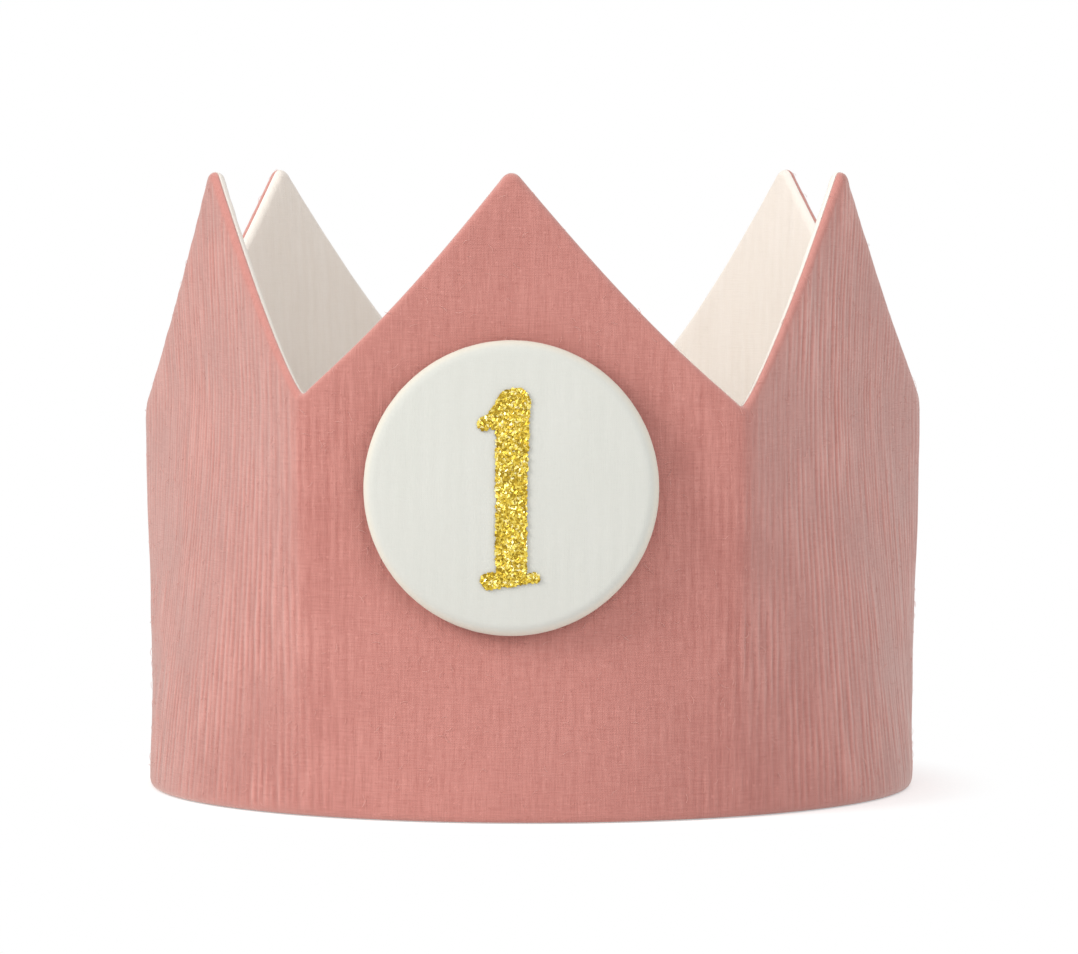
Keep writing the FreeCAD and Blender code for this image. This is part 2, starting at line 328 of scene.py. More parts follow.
def strewn(
    tree: bpy.types.NodeTree,
    points: bpy.types.NodeSocket,
    facing: bpy.types.NodeSocket,
    piece: bpy.types.NodeSocket,
    turns: tuple[object, object],
    shares: tuple[float, float],
    size: bpy.types.NodeSocket,
) -> bpy.types.NodeSocket:
    """Lays a small piece on each point, with a turn and a size of its own.

    Args:
        tree: the tree that the pieces are laid in.
        points: the points.
        facing: the rotation that faces away from the surface at each point.
        piece: the piece, at a size of one metre.
        turns: the least and the most turn about each axis.
        shares: the least and the most share of the size.
        size: the size.

    Returns:
        The output that gives all the pieces.
    """
    kind = "FunctionNodeRandomValue"
    spin = add(tree, kind, {0: turns[0], 1: turns[1], "Seed": 2}, data_type="FLOAT_VECTOR")
    by = add(tree, "FunctionNodeEulerToRotation", {0: spin.outputs[0]})
    both = {"Rotation": facing, "Rotate By": by.outputs[0]}
    turned = add(tree, "FunctionNodeRotateRotation", both, rotation_space="LOCAL")
    share = add(tree, kind, {2: shares[0], 3: shares[1], "Seed": 3}, data_type="FLOAT")
    scaled = {0: share.outputs[1], 1: size}
    scale = add(tree, "ShaderNodeMath", scaled, operation="MULTIPLY")
    inputs = {
        "Points": points,
        "Instance": piece,
        "Rotation": turned.outputs[0],
        "Scale": scale.outputs[0],
    }
    return add(tree, "GeometryNodeInstanceOnPoints", inputs).outputs[0]


def seat_piece(made: bpy.types.Object, slot: str, *nodes: str) -> None:
    """Ties a finished piece to the crown's one body and says what it stands for.

    Args:
        made: the piece.
        slot: the record's material slot.
        nodes: the solids that it is shown instead of.
    """
    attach(made, "root")
    if nodes:
        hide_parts(*nodes)
    LOG.info("%s: %d faces, slot %s", made.name, len(made.data.polygons), slot)


# ---------------------------------------------------------------- finishes


@dataclass(frozen=True)
class WovenCotton:
    """Woven cotton, with its threads along the piece's own cloth directions.

    The piece has two attributes: cloth, which holds the place along and up the cloth in
    millimetres and how near a turned edge is, where a highlight is painted, and rib, the
    height of its crinkle, which the tone follows as painted shade and painted light."""

    name: str
    light: str
    deep: str
    # colour of the painted highlight along a turned edge
    edge: str
    thread: float = 0.5  # spacing of the threads
    hair: float = 0.27  # width of a single uneven thread
    hair_run: float = 4.5  # how far such a thread can be followed
    streak: float = 1.9  # width of the tone streaks between crinkles
    streak_run: float = 26.0
    streak_gain: float = 0.9
    hair_gain: float = 0.8
    # tone that follows the crinkle: painted shade in its grooves, painted light on its crests
    rib_shade_gain: float = 0.5
    speck_share: float = 0.5
    relief: float = 0.10
    sheen: float = 0.5
    sheen_tint: str = "#FFF4EE"
    sheen_roughness: float = 0.5
    cloud_gain: float = 0.3
    cloud: tuple[float, float] = (26.0, 32.0)  # size of the slow change of tone
    speck: float = 0.85  # size of the pale knots and the darker thin spots
    knots: tuple[float, float] = (0.74, 0.80)  # noise at which a knot starts and is full
    thin_spots: tuple[float, float] = (0.27, 0.21)  # the same for a thin spot
    weft_share: float = 0.75  # tone of the threads across, beside that of the upright ones
    weave_share: float = 0.16  # relief of the even weave, beside that of single threads
    edge_highlight_share: float = 0.75  # how far a turned edge takes on the painted highlight
    roughness: float = 0.88
    specular: float = 0.2  # low, because fibres scatter what a smooth face would reflect

    def build(self) -> bpy.types.Material:
        """Makes the node material of this cloth.

        Returns:
            The material.
        """
        material, shader = new_material(self.name)
        tree = material.node_tree
        place = add(tree, "ShaderNodeAttribute", attribute_name="cloth").outputs["Vector"]
        rib = add(tree, "ShaderNodeAttribute", attribute_name="rib").outputs["Fac"]
        split = add(tree, "ShaderNodeSeparateXYZ", {0: place})
        noise = {}
        for label, across, up, detail in (
            ("warp", self.hair, self.hair_run, 2.0),
            ("weft", self.hair_run, self.hair, 2.0),
            ("streak", self.streak, self.streak_run, 2.0),
            ("cloud", *self.cloud, 1.0),
            ("speck", self.speck, self.speck, 0.0),
        ):
            scaled = {"Vector": place, "Scale": (1 / across, 1 / up, 0)}
            scaled["Location"] = (across, up, 0)
            mapped = add(tree, "ShaderNodeMapping", scaled)
            field_in = {"Vector": mapped.outputs[0], "Scale": 1.0, "Detail": detail}
            noise[label] = add(tree, "ShaderNodeTexNoise", field_in).outputs[0]
        beats = []
        for axis in (0, 1):
            pace = {0: split.outputs[axis], 1: 2 * math.pi / self.thread}
            turn = add(tree, "ShaderNodeMath", pace, operation="MULTIPLY")
            beats.append(add(tree, "ShaderNodeMath", {0: turn.outputs[0]}, operation="SINE"))
        crossing = {0: beats[0].outputs[0], 1: beats[1].outputs[0]}
        weave = add(tree, "ShaderNodeMath", crossing, operation="MULTIPLY").outputs[0]
        threads = [(noise["warp"], 1.0), (noise["weft"], 1.0), (weave, self.weave_share)]
        height = summed(tree, threads, 0.5)
        bump = add(
            tree,
            "ShaderNodeBump",
            {"Height": height, "Strength": 1.0, "Distance": self.relief * MM},
        )
        tone = summed(
            tree,
            [
                (noise["warp"], self.hair_gain),
                (noise["weft"], self.hair_gain * self.weft_share),
                (noise["streak"], self.streak_gain),
                (noise["cloud"], self.cloud_gain),
                # the crinkle's height: painted shade in the grooves, painted light on the crests
                (rib, self.rib_shade_gain),
            ],
            0.5,
        )
        layers = [(tone, linear(self.light))]
        for (start, full), shade in ((self.knots, self.light), (self.thin_spots, self.deep)):
            span = {"Value": noise["speck"], "From Min": start, "From Max": full}
            span["To Max"] = self.speck_share
            speck = add(tree, "ShaderNodeMapRange", span)
            layers.append((speck.outputs[0], linear(shade)))
        # Painted highlight along the turned edges, where the rounded cloth catches the light
        edge_highlight_inputs = {0: split.outputs[2], 1: self.edge_highlight_share}
        edge_highlight_mix = add(tree, "ShaderNodeMath", edge_highlight_inputs, operation="MULTIPLY")
        layers.append((edge_highlight_mix.outputs[0], linear(self.edge)))
        colour = layered(tree, linear(self.deep), layers)
        tree.links.new(colour, shader.inputs["Base Color"])
        tree.links.new(bump.outputs[0], shader.inputs["Normal"])
        shader.inputs["Roughness"].default_value = self.roughness
        shader.inputs["Specular IOR Level"].default_value = self.specular
        shader.inputs["Sheen Weight"].default_value = self.sheen
        shader.inputs["Sheen Roughness"].default_value = self.sheen_roughness
        shader.inputs["Sheen Tint"].default_value = linear(self.sheen_tint)
        return material


@dataclass(frozen=True)
class Grained:
    """A finish with a grain in two tones and a fine relief, on the piece's own axes."""

    name: str
    light: str
    deep: str
    grain: tuple[float, float, float]  # size of the grain along X, Y and Z
    relief: float
    roughness: float
    metallic: float = 0.0
    sheen: float = 0.0
    gain: float = 1.4

    def build(self) -> bpy.types.Material:
        """Makes the node material of this finish.

        Returns:
            The material.
        """
        material, shader = new_material(self.name)
        tree = material.node_tree
        place = add(tree, "ShaderNodeTexCoord").outputs["Object"]
        scale = tuple(1 / (size * MM) for size in self.grain)
        mapped = add(tree, "ShaderNodeMapping", {"Vector": place, "Scale": scale})
        inputs = {"Vector": mapped.outputs[0], "Scale": 1.0, "Detail": 3.0}
        grain = add(tree, "ShaderNodeTexNoise", inputs).outputs[0]
        tone = summed(tree, [(grain, self.gain)], 0.5)
        colour = layered(tree, linear(self.deep), [(tone, linear(self.light))])
        bump = add(
            tree,
            "ShaderNodeBump",
            {"Height": grain, "Strength": 1.0, "Distance": self.relief * MM},
        )
        tree.links.new(colour, shader.inputs["Base Color"])
        tree.links.new(bump.outputs[0], shader.inputs["Normal"])
        shader.inputs["Roughness"].default_value = self.roughness
        shader.inputs["Metallic"].default_value = self.metallic
        shader.inputs["Sheen Weight"].default_value = self.sheen
        return material


@dataclass(frozen=True)
class GoldGlitter:
    """Glitter vinyl: a gold film under metallised polyester flakes.

    Each flake takes its own gold from the shade attribute: painted glints towards the pale
    end and painted shade towards the dark end; the film, with no such attribute, takes the
    darkest gold."""

    name: str = "gold_glitter_vinyl"
    # from painted shade at 0 to a painted glint at 1
    glint_and_shade_golds: tuple[tuple[float, str], ...] = (
        (0.0, "#94781A"),
        (0.3, "#C0A02C"),
        (0.6, "#DCC044"),
        (0.85, "#F2E070"),
        (1.0, "#FFF8C4"),
    )
    metallic: float = 0.75  # a clear film lies over the metal
    roughness: float = 0.32

    def build(self) -> bpy.types.Material:
        """Makes the node material of the film and the flakes.

        Returns:
            The material.
        """
        material, shader = new_material(self.name)
        tree = material.node_tree
        shade = add(tree, "ShaderNodeAttribute", attribute_name="shade").outputs["Fac"]
        ramp = add(tree, "ShaderNodeValToRGB", {0: shade})
        stops = ramp.color_ramp.elements
        while len(stops) < len(self.glint_and_shade_golds):
            stops.new(0.5)
        for stop, (place, code) in zip(stops, self.glint_and_shade_golds):
            stop.position = place
            stop.color = linear(code)
        tree.links.new(ramp.outputs[0], shader.inputs["Base Color"])
        shader.inputs["Metallic"].default_value = self.metallic
        shader.inputs["Roughness"].default_value = self.roughness
        return material


# Crinkled cotton double gauze: loose threads that shrink unevenly, so fine upright ribs and hairs
PINK_GAUZE = WovenCotton(
    "crinkled_cotton_gauze",
    light="#D5948B",
    deep="#AF6D65",
    # paler pink along the turned edges: painted highlight
    edge="#DD978E",
    streak=1.6,
    streak_gain=0.25,
    hair_gain=0.9,
    rib_shade_gain=0.75,
    cloud_gain=0.15,
    sheen=0.88,
)
# Plain woven off-white cotton: flat and quiet, with barely visible threads
LINING_COTTON = WovenCotton(
    "plain_lining_cotton",
    light="#F5EEE7",
    deep="#E9DFD5",
    # near white along the turned edges: painted highlight
    edge="#FFFAF2",
    streak=3.5,
    streak_gain=0.5,
    hair_gain=0.5,
    rib_shade_gain=0.2,
    speck_share=0.15,
    relief=0.05,
    sheen=0.15,
    sheen_tint=WHITE,
)
# Bleached fine cotton, drawn tight over the button: nearly smooth, cool white
BADGE_COTTON = WovenCotton(
    "bleached_badge_cotton",
    light="#DADBD6",
    deep="#CBCDC6",
    # cream round the badge's rim: painted highlight
    edge="#EFE8D6",
    thread=0.4,
    streak=2.6,
    streak_run=34.0,
    streak_gain=0.22,
    hair_gain=0.3,
    rib_shade_gain=0.1,
    speck_share=0.1,
    relief=0.035,
    sheen=0.1,
    sheen_tint=WHITE,
)
# Woven polyester elastic: threads drawn along its rubber cores, slightly shiny
WOVEN_ELASTIC = Grained(
    "woven_elastic", "#F4F0E7", "#CBC3B4", (5.0, 5.0, 0.45), 0.08, 0.7, sheen=0.2
)
# Needled polyester felt: a mat of fibres with no direction
NEEDLED_FELT = Grained(
    "needled_felt", "#E6E5E0", "#BDBBB4", (0.4, 0.4, 0.4), 0.15, 0.95, sheen=0.3
)
# Bare tinplate: rolled and pressed, so fine drawn lines in a dull bright metal
TINPLATE = Grained(
    "pressed_tinplate", "#D5D6D6", "#A9ABAC", (6.0, 6.0, 0.2), 0.01, 0.35, 1.0
)
# Injection-moulded polypropylene: satin, with the fine spark texture of its mould
MOULDED_PLASTIC = Grained(
    "moulded_polypropylene", "#EFEEEA", "#DAD8D2", (0.25, 0.25, 0.25), 0.02, 0.45
)
# Moulded nylon hooks, in rows about a millimetre apart
HOOK_TAPE = Grained(
    "nylon_hook_tape", "#F0EEE6", "#B9B5A9", (0.9, 0.9, 0.6), 0.25, 0.5
)
# Brushed nylon loops: a soft tangled nap
LOOP_TAPE = Grained(
    "brushed_loop_tape", "#EEE9DE", "#C5BDAE", (0.35, 0.35, 0.35), 0.3, 0.95, sheen=0.4
)
# Single cotton fibres of the gauze: paler than the cloth, because light passes through them
LOOSE_FIBRE = Grained(
    "loose_cotton_fibre", "#EFBEB4", "#DB9A8F", (0.6, 0.6, 0.6), 0.02, 0.8, sheen=0.3
)
# Polyester sewing thread, twisted, a shade lighter than the cloth
SEWING_THREAD = Grained(
    "sewing_thread", "#EBB3A9", "#C98378", (0.12, 0.12, 0.3), 0.05, 0.6, sheen=0.3
)


# ---------------------------------------------------------------- form of the wall


class Corner(NamedTuple):
    """Corner of the outline: where it lies along the rim, and its height."""

    place: float
    height: float


class Arc(NamedTuple):
    """Arc that rounds a corner of the outline."""

    start: float
    end: float
    middle: float
    centre: float
    up: int
    radius: float


@dataclass
class WallForm:
    """Shape of the sewn wall, in the sizes of the solids."""

    cover_ply: float = 0.7
    core_ply: float = 1.6
    lining_ply: float = 0.6
    ply_gap: float = 0.05
    head_radius: float = 77.0
    back_opening: float = 47.6
    sole_width: float = 1.2
    end_corner_radius: float = 3.0
    blunt_end: float = 0.7
    notch_height: float = 82.6
    apex_height: float = 129.6
    edge_hollow: float = 0.8
    tip_radius: float = 2.5
    notch_radius: float = 1.0
    tip_shift: tuple[float, ...] = (1.4, 4.2, -2.3, -3.9, 1.5)
    notch_lift: tuple[float, ...] = (0.0, -4.0, 1.5, -0.9, -1.9, 0.0)
    flat_height: float = 70.0
    bend_share: float = 0.2
    inset_at_notch: float = 9.1
    inset_at_tip: float = 6.7
    corner_softness: float = 2.2
    end_column: float = 2.1  # one more column in the round corner of an end
    tip_steps: int = 12  # columns round a tip
    notch_steps: int = 8  # columns round a valley
    outline: list[Corner] = field(init=False)
    arcs: list[Arc] = field(init=False)

    def __post_init__(self) -> None:
        """Works out the outline and the arcs at its corners."""
        self.thickness = self.cover_ply + self.core_ply + self.lining_ply + 2 * self.ply_gap
        self.rim_radius = self.head_radius + self.thickness / 2
        self.count = len(self.tip_shift)
        rim = 2 * math.pi * self.rim_radius
        self.half_point = (rim - self.back_opening) / (2 * self.count)
        self.end = self.count * self.half_point
        self.outline = []
        for i, lift in enumerate(self.notch_lift):
            valley = 2 * i * self.half_point - self.end
            self.outline.append(Corner(valley, self.notch_height + lift))
            if i < self.count:
                middle = (2 * i + 1) * self.half_point - self.end
                self.outline.append(Corner(middle + self.tip_shift[i], self.apex_height))
        self.arcs = []
        for i in range(1, len(self.outline) - 1):
            radius = self.tip_radius if i % 2 else self.notch_radius
            self.arcs.append(self.rounding(*self.outline[i - 1 : i + 2], radius))

    def edge_slope(self, a: Corner, b: Corner, share: float) -> float:
        """Slope of the edge between two corners, at a share of its length."""
        return (b.height - a.height - 4 * self.edge_hollow * (1 - 2 * share)) / (b.place - a.place)

    def rounding(self, before: Corner, corner: Corner, after: Corner, radius: float) -> Arc:
        """The arc that rounds a corner and is tangent to both its edges.

        Args:
            before: the corner before it.
            corner: the corner.
            after: the corner after it.
            radius: the arc's radius.

        Returns:
            The arc.
        """
        entering = self.edge_slope(before, corner, 1)
        up = 1 if entering > 0 else -1
        steep_in, steep_out = abs(entering), abs(self.edge_slope(corner, after, 0))
        long_in, long_out = math.hypot(1, steep_in), math.hypot(1, steep_out)
        aside = radius * (long_in - long_out) / (steep_in + steep_out)
        middle = corner.place + aside
        centre = corner.height - up * (radius * long_out + steep_out * aside)
        start = middle - radius * steep_in / long_in
        return Arc(start, middle + radius * steep_out / long_out, middle, centre, up, radius)

    def top_height(self, place: float) -> float:
        """Height of the wall's top edge.

        Args:
            place: where along the wall.

        Returns:
            The height.
        """
        for arc in self.arcs:
            if arc.start <= place <= arc.end:
                return arc.centre + arc.up * math.sqrt(arc.radius**2 - (place - arc.middle) ** 2)
        for a, b in zip(self.outline, self.outline[1:]):
            if place <= b.place:
                break
        share = (place - a.place) / (b.place - a.place)
        dip = 4 * self.edge_hollow * share * (1 - share)
        return a.height + (b.height - a.height) * share - dip

    def top_stretch(self, place: float) -> float:
        """Length of the top edge for each millimetre along the rim.

        Args:
            place: where along the wall.

        Returns:
            The length.
        """
        ahead, behind = min(place + 0.01, self.end), max(place - 0.01, -self.end)
        rise = self.top_height(ahead) - self.top_height(behind)
        return math.hypot(1, rise / (ahead - behind))

    def lean(self, z: np.ndarray) -> np.ndarray:
        """How far the round rim has gone over into the flat points.

        Args:
            z: heights.

        Returns:
            Shares, from 0 at the rim to 1 where the points are flat.
        """
        rise = z / self.flat_height
        soft = (np.hypot(1 - rise, self.bend_share) + 1 - rise) / 2
        start = (math.hypot(1, self.bend_share) - 1) / 2
        return 1 - soft + start * np.maximum(0, 1 - rise)

    def radius(self, place: np.ndarray, z: np.ndarray) -> np.ndarray:
        """Distance from the axis to the middle of the wall's thickness.

        Args:
            place: places along the wall.
            z: heights.

        Returns:
            The distance at each of them.
        """
        around = 2 * math.pi * self.rim_radius
        place = np.where(place > around / 2, place - around, place)
        place = np.clip(place, -self.end, self.end)
        index = ((place + self.end) / (2 * self.half_point)).astype(int)
        index = np.minimum(index, self.count - 1)
        across = np.abs(place - (2 * index + 1) * self.half_point + self.end) / self.half_point
        soft = self.corner_softness / self.half_point
        bent = math.hypot(1, soft) - np.hypot(1 - across, soft)
        climb = (z - self.notch_height) / (self.apex_height - self.notch_height)
        gain = self.inset_at_tip - self.inset_at_notch
        inset = self.inset_at_notch + gain * np.maximum(0, climb)
        flat = (self.rim_radius - inset) / np.cos(bent * self.half_point / self.rim_radius)
        return self.rim_radius + (flat - self.rim_radius) * self.lean(z)

    def point(self, place: np.ndarray, offset: np.ndarray, z: np.ndarray) -> np.ndarray:
        """Points of the wall.

        Args:
            place: places along it.
            offset: how far outwards from the middle of its thickness.
            z: heights.

        Returns:
            The points.
        """
        place, offset, z = np.broadcast_arrays(place, offset, z)
        angle = place / self.rim_radius
        reach = self.radius(place, z) + offset
        return np.stack([reach * np.sin(angle), -reach * np.cos(angle), z], -1)

    def columns(self, pitch: float) -> np.ndarray:
        """Places along the strip, closer to each other round its corners and ends.

        Args:
            pitch: how far apart they are elsewhere.

        Returns:
            The places.
        """
        rounded = [share * self.thickness / 2 for share in END_SHARES]
        rounded += [self.end_column, self.end_corner_radius]
        places = [-self.end + inward for inward in rounded]
        for arc in self.arcs:
            flank = arc.start - places[-1]
            places += list(np.linspace(places[-1], arc.start, math.ceil(flank / pitch) + 1)[1:])
            steps = self.tip_steps if arc.up > 0 else self.notch_steps
            places += list(np.linspace(arc.start, arc.end, steps + 1)[1:])
        last = self.end - rounded[-1]
        flank = last - places[-1]
        places += list(np.linspace(places[-1], last, math.ceil(flank / pitch) + 1)[1:])
        places += [self.end - inward for inward in reversed(rounded[:-1])]
        return np.array(places)

    def flat_area(self) -> float:
        """Area of the strip's outline laid flat, in square metres."""
        places = np.linspace(-self.end, self.end, 4000)
        heights = np.array([self.top_height(place) for place in places])
        return float(heights.mean() * 2 * self.end * MM * MM)


# ---------------------------------------------------------------- crinkle of the cloths


@dataclass(frozen=True)
class Crinkle:
    """Upright ribs of crinkled cloth, raised along the lift attribute of a piece."""

    spacing: float = 1.85  # between two ribs
    run: float = 16.0  # how far a rib can be followed
    wander: float = 0.5  # how far a rib strays from upright
    depth: float = 0.28
    evenness: float = 0.15  # share of an even beat in the ribs
    edges: tuple[float, float] = (0.28, 0.72)  # noise at a rib's foot and at its crest
    drift: float = 9.0  # size of the waves in which the ribs stray
    patch: float = 22.0  # size of the patches in which the ribs are low or full
    patch_edges: tuple[float, float] = (0.35, 0.62)  # noise in a low patch and in a full one
    patch_low: float = 0.3  # height of the ribs in a low patch
    flat_tone: float = 0.45  # what the rib attribute holds where nothing is raised
    seed: int = 3

    def apply(self, made: bpy.types.Object, material: bpy.types.Material) -> None:
        """Raises the ribs on a piece and stores their height as its rib attribute.

        Args:
            made: the piece, with its cloth and lift attributes.
            material: the piece's finish.
        """
        sizes = {
            "Rib Spacing": self.spacing,
            "Rib Run": self.run,
            "Rib Wander": self.wander,
            "Rib Height": self.depth * MM,
            "Seed": float(self.seed),
        }
        tree, source = new_tree("crinkle", sizes)
        attribute = {"data_type": "FLOAT_VECTOR"}
        kind = "GeometryNodeInputNamedAttribute"
        cloth = add(tree, kind, {"Name": "cloth"}, **attribute).outputs[0]
        lift = add(tree, kind, {"Name": "lift"}, **attribute).outputs[0]
        flat = add(tree, "ShaderNodeVectorMath", {0: cloth, 1: (1, 1, 0)}, operation="MULTIPLY")
        wide = {"Vector": flat.outputs[0], "Scale": 1 / self.drift}
        drift = add(tree, "ShaderNodeTexNoise", wide)
        around = {0: drift.outputs["Color"], 1: (0.5, 0.5, 0.5)}
        centred = add(tree, "ShaderNodeVectorMath", around, operation="SUBTRACT")
        by = {0: centred.outputs[0], "Scale": source.outputs["Rib Wander"]}
        stray = add(tree, "ShaderNodeVectorMath", by, operation="SCALE")
        moved = add(
            tree, "ShaderNodeVectorMath", {0: flat.outputs[0], 1: stray.outputs[0]}, operation="ADD"
        )
        pace = add(
            tree,
            "ShaderNodeCombineXYZ",
            {0: source.outputs["Rib Spacing"], 1: source.outputs["Rib Run"], 2: 1.0},
        )
        places = {0: moved.outputs[0], 1: pace.outputs[0]}
        counted = add(tree, "ShaderNodeVectorMath", places, operation="DIVIDE")
        start = add(tree, "ShaderNodeCombineXYZ", {2: source.outputs["Seed"]})
        shifted = {0: counted.outputs[0], 1: start.outputs[0]}
        seeded = add(tree, "ShaderNodeVectorMath", shifted, operation="ADD")
        fine = {"Vector": seeded.outputs[0], "Scale": 1.0, "Detail": 1.0, "Roughness": 0.5}
        broken = add(tree, "ShaderNodeTexNoise", fine)
        count = add(tree, "ShaderNodeSeparateXYZ", {0: counted.outputs[0]})
        whole = {0: count.outputs[0], 1: 2 * math.pi}
        turn = add(tree, "ShaderNodeMath", whole, operation="MULTIPLY")
        beat = add(tree, "ShaderNodeMath", {0: turn.outputs[0]}, operation="SINE")
        beaten = {0: beat.outputs[0], 1: self.evenness, 2: broken.outputs[0]}
        ribs = add(tree, "ShaderNodeMath", beaten, operation="MULTIPLY_ADD")
        foot, crest = self.edges
        span = {"Value": ribs.outputs[0], "From Min": foot, "From Max": crest}
        raised = add(tree, "ShaderNodeMapRange", span, interpolation_type="SMOOTHSTEP")
        slow = {"Vector": flat.outputs[0], "Scale": 1 / self.patch, "Detail": 1.0}
        patches = add(tree, "ShaderNodeTexNoise", slow)
        quiet, full = self.patch_edges
        span = {"Value": patches.outputs[0], "From Min": quiet, "From Max": full}
        span["To Min"] = self.patch_low
        patch = add(tree, "ShaderNodeMapRange", span)
        both = {0: raised.outputs[0], 1: patch.outputs[0]}
        rib = add(tree, "ShaderNodeMath", both, operation="MULTIPLY").outputs[0]
        height = add(
            tree, "ShaderNodeMath", {0: rib, 1: source.outputs["Rib Height"]}, operation="MULTIPLY"
        )
        shift = add(
            tree, "ShaderNodeVectorMath", {0: lift, "Scale": height.outputs[0]}, operation="SCALE"
        )
        shape = {"Geometry": source.outputs["Geometry"], "Offset": shift.outputs[0]}
        shaped = add(tree, "GeometryNodeSetPosition", shape)
        # The tone follows the raised ribs, painted shade in the grooves and painted light on the
        # crests, and is even elsewhere
        strength = add(tree, "ShaderNodeVectorMath", {0: lift}, operation="LENGTH")
        above = add(tree, "ShaderNodeMath", {0: rib, 1: self.flat_tone}, operation="SUBTRACT")
        damped = {0: above.outputs[0], 1: strength.outputs["Value"], 2: self.flat_tone}
        toned = add(tree, "ShaderNodeMath", damped, operation="MULTIPLY_ADD")
        kept = add(
            tree,
            "GeometryNodeStoreNamedAttribute",
            {"Geometry": shaped.outputs[0], "Name": "rib", "Value": toned.outputs[0]},
            data_type="FLOAT",
            domain="POINT",
        )
        end_tree(tree, kept.outputs[0], material)
        run_tree(made, tree, sizes)
        made.data.attributes.remove(made.data.attributes["lift"])


# ---------------------------------------------------------------- pieces


class Side(Enum):
    """Side of the wall that a cloth is on."""

    OUTSIDE = 1
    INSIDE = -1


@dataclass
class ClothStrip:
    """One cloth of the wall: a closed sheet, turned in at its seams and ends."""

    form: WallForm
    name: str
    node: str
    slot: str
    side: Side
    ply: float
    finish: WovenCotton
    crinkle: Crinkle
    seed: int
    pitch: float = 0.44
    rows: int = 46
    hidden_rows: int = 9
    seam_dip: float = 0.3  # how deep the seam lies between the two turned edges
    seam_rest: tuple[float, float] = (0.8, 4.5)  # the cloth comes off its seams between these
    end_rest: tuple[float, float] = (1.5, 9.0)  # and off the ends of the strip between these
    sag: float = 0.22  # slow unevenness of the cloth over the interlining
    sag_length: float = 34.0  # from one high place to the next, along the strip
    sag_height: float = 40.0  # the same upwards
    pucker: float = 0.13  # gathers along the top seam
    pucker_pitch: float = 7.3
    pucker_height: float = 90.0  # how far down a gather keeps its place
    pucker_reach: float = 3.0  # how far below the seam the gathers are highest
    pucker_rest: tuple[float, float] = (1.0, 6.0)  # they start between these, from the ends
    quiet_share: float = 0.2  # height of the ribs at the front, where the cloth is flattest
    ribbed: tuple[float, float] = (22.0, 60.0)  # places between which they reach full height
    upright: float = 0.35  # how far the threads stand upright where the wall leans in
    upright_turn: tuple[float, float] = (1.0, 1.5)  # radians round the wall where that ends
    edge_highlight_width: float = 1.9  # width of the painted highlight along a turned edge
    slot_low: float = 8.6  # where the ends open round the elastic
    slot_high: float = 39.4
    slot_taper: float = 2.0
    slot_half: float = 0.72
    slot_mouth: float = 0.42  # how much further the shown face opens

    def sections(
        self, place: np.ndarray, top: np.ndarray, stretch: np.ndarray
    ) -> tuple[np.ndarray, np.ndarray, int]:
        """Closed section of the cloth at each place along the strip.

        Args:
            place: places along the strip.
            top: height of the top edge at each.
            stretch: length of the top edge for each millimetre along.

        Returns:
            Offset from the middle of the wall and height of each point, with a row for each
            place, and how many points of a row are on the shown face.
        """
        form = self.form
        seam = form.ply_gap / 2
        cap = form.thickness / 2
        inward = form.end - np.abs(place)
        share = np.minimum(1, inward / cap)
        half = np.maximum(form.blunt_end / 2, cap * np.sqrt(1 - (1 - share) ** 2))
        corner = np.maximum(0, form.end_corner_radius - inward)
        bottom = form.end_corner_radius - np.sqrt(form.end_corner_radius**2 - corner**2)
        low, high = bottom + cap, top - cap * stretch
        flat = np.minimum(form.sole_width / 2, half / 2)
        turns = QUARTER_TURN * np.array(ROUND_SHARES)
        # The shown face, from the bottom seam round the sole and up to the top seam
        path = [(seam + 0 * place, bottom + self.seam_dip), (flat * 0.3, bottom + 0.02)]
        path.append((flat, bottom))
        path += [(flat + (half - flat) * math.sin(t), low - cap * math.cos(t)) for t in turns]
        path += [(half, low + (high - low) * i / self.rows) for i in range(self.rows + 1)]
        for t in (*turns, QUARTER_TURN * LAST_SHARE):
            path.append((np.maximum(seam, half * math.cos(t)), high + cap * stretch * math.sin(t)))
        path.append((seam + 0 * place, top - self.seam_dip * stretch))
        shown = len(path)

        # The hidden face, a ply further in
        inner = np.maximum(seam + 0.01, half - self.ply)
        cap_in = cap - self.ply
        folded = inner * 0.75 + seam * 0.25
        path.append((seam + 0 * place, high + cap_in * stretch * 0.98))
        path.append((folded, high + cap_in * stretch * 0.6))
        for i in range(self.hidden_rows, -1, -1):
            path.append((inner, low + (high - low) * i / self.hidden_rows))
        path.append((folded, low - cap_in * 0.6))
        path.append((seam + 0 * place, bottom + self.ply))
        offset = np.stack([o for o, _ in path], -1)
        height = np.stack([z for _, z in path], -1)

        # The ends open round the elastic
        opened = eased(self.slot_low - self.slot_taper, self.slot_low, height)
        opened *= 1 - eased(self.slot_high, self.slot_high + self.slot_taper, height)
        wanted = np.full(offset.shape, self.slot_half + self.slot_mouth)
        wanted[:, shown:] = self.slot_half
        return offset + (np.maximum(offset, wanted) - offset) * opened, height, shown

    def build(self) -> bpy.types.Object:
        """Makes, dresses and seats the cloth.

        Returns:
            The cloth.
        """
        form = self.form
        sign = self.side.value
        place = form.columns(self.pitch)
        inward = (form.end - np.abs(place))[:, None]
        top = np.array([form.top_height(p) for p in place])
        stretch = np.array([form.top_stretch(p) for p in place])
        offset, height, shown = self.sections(place, top, stretch)
        along = place[:, None] + 0 * height
        angle = along / form.rim_radius

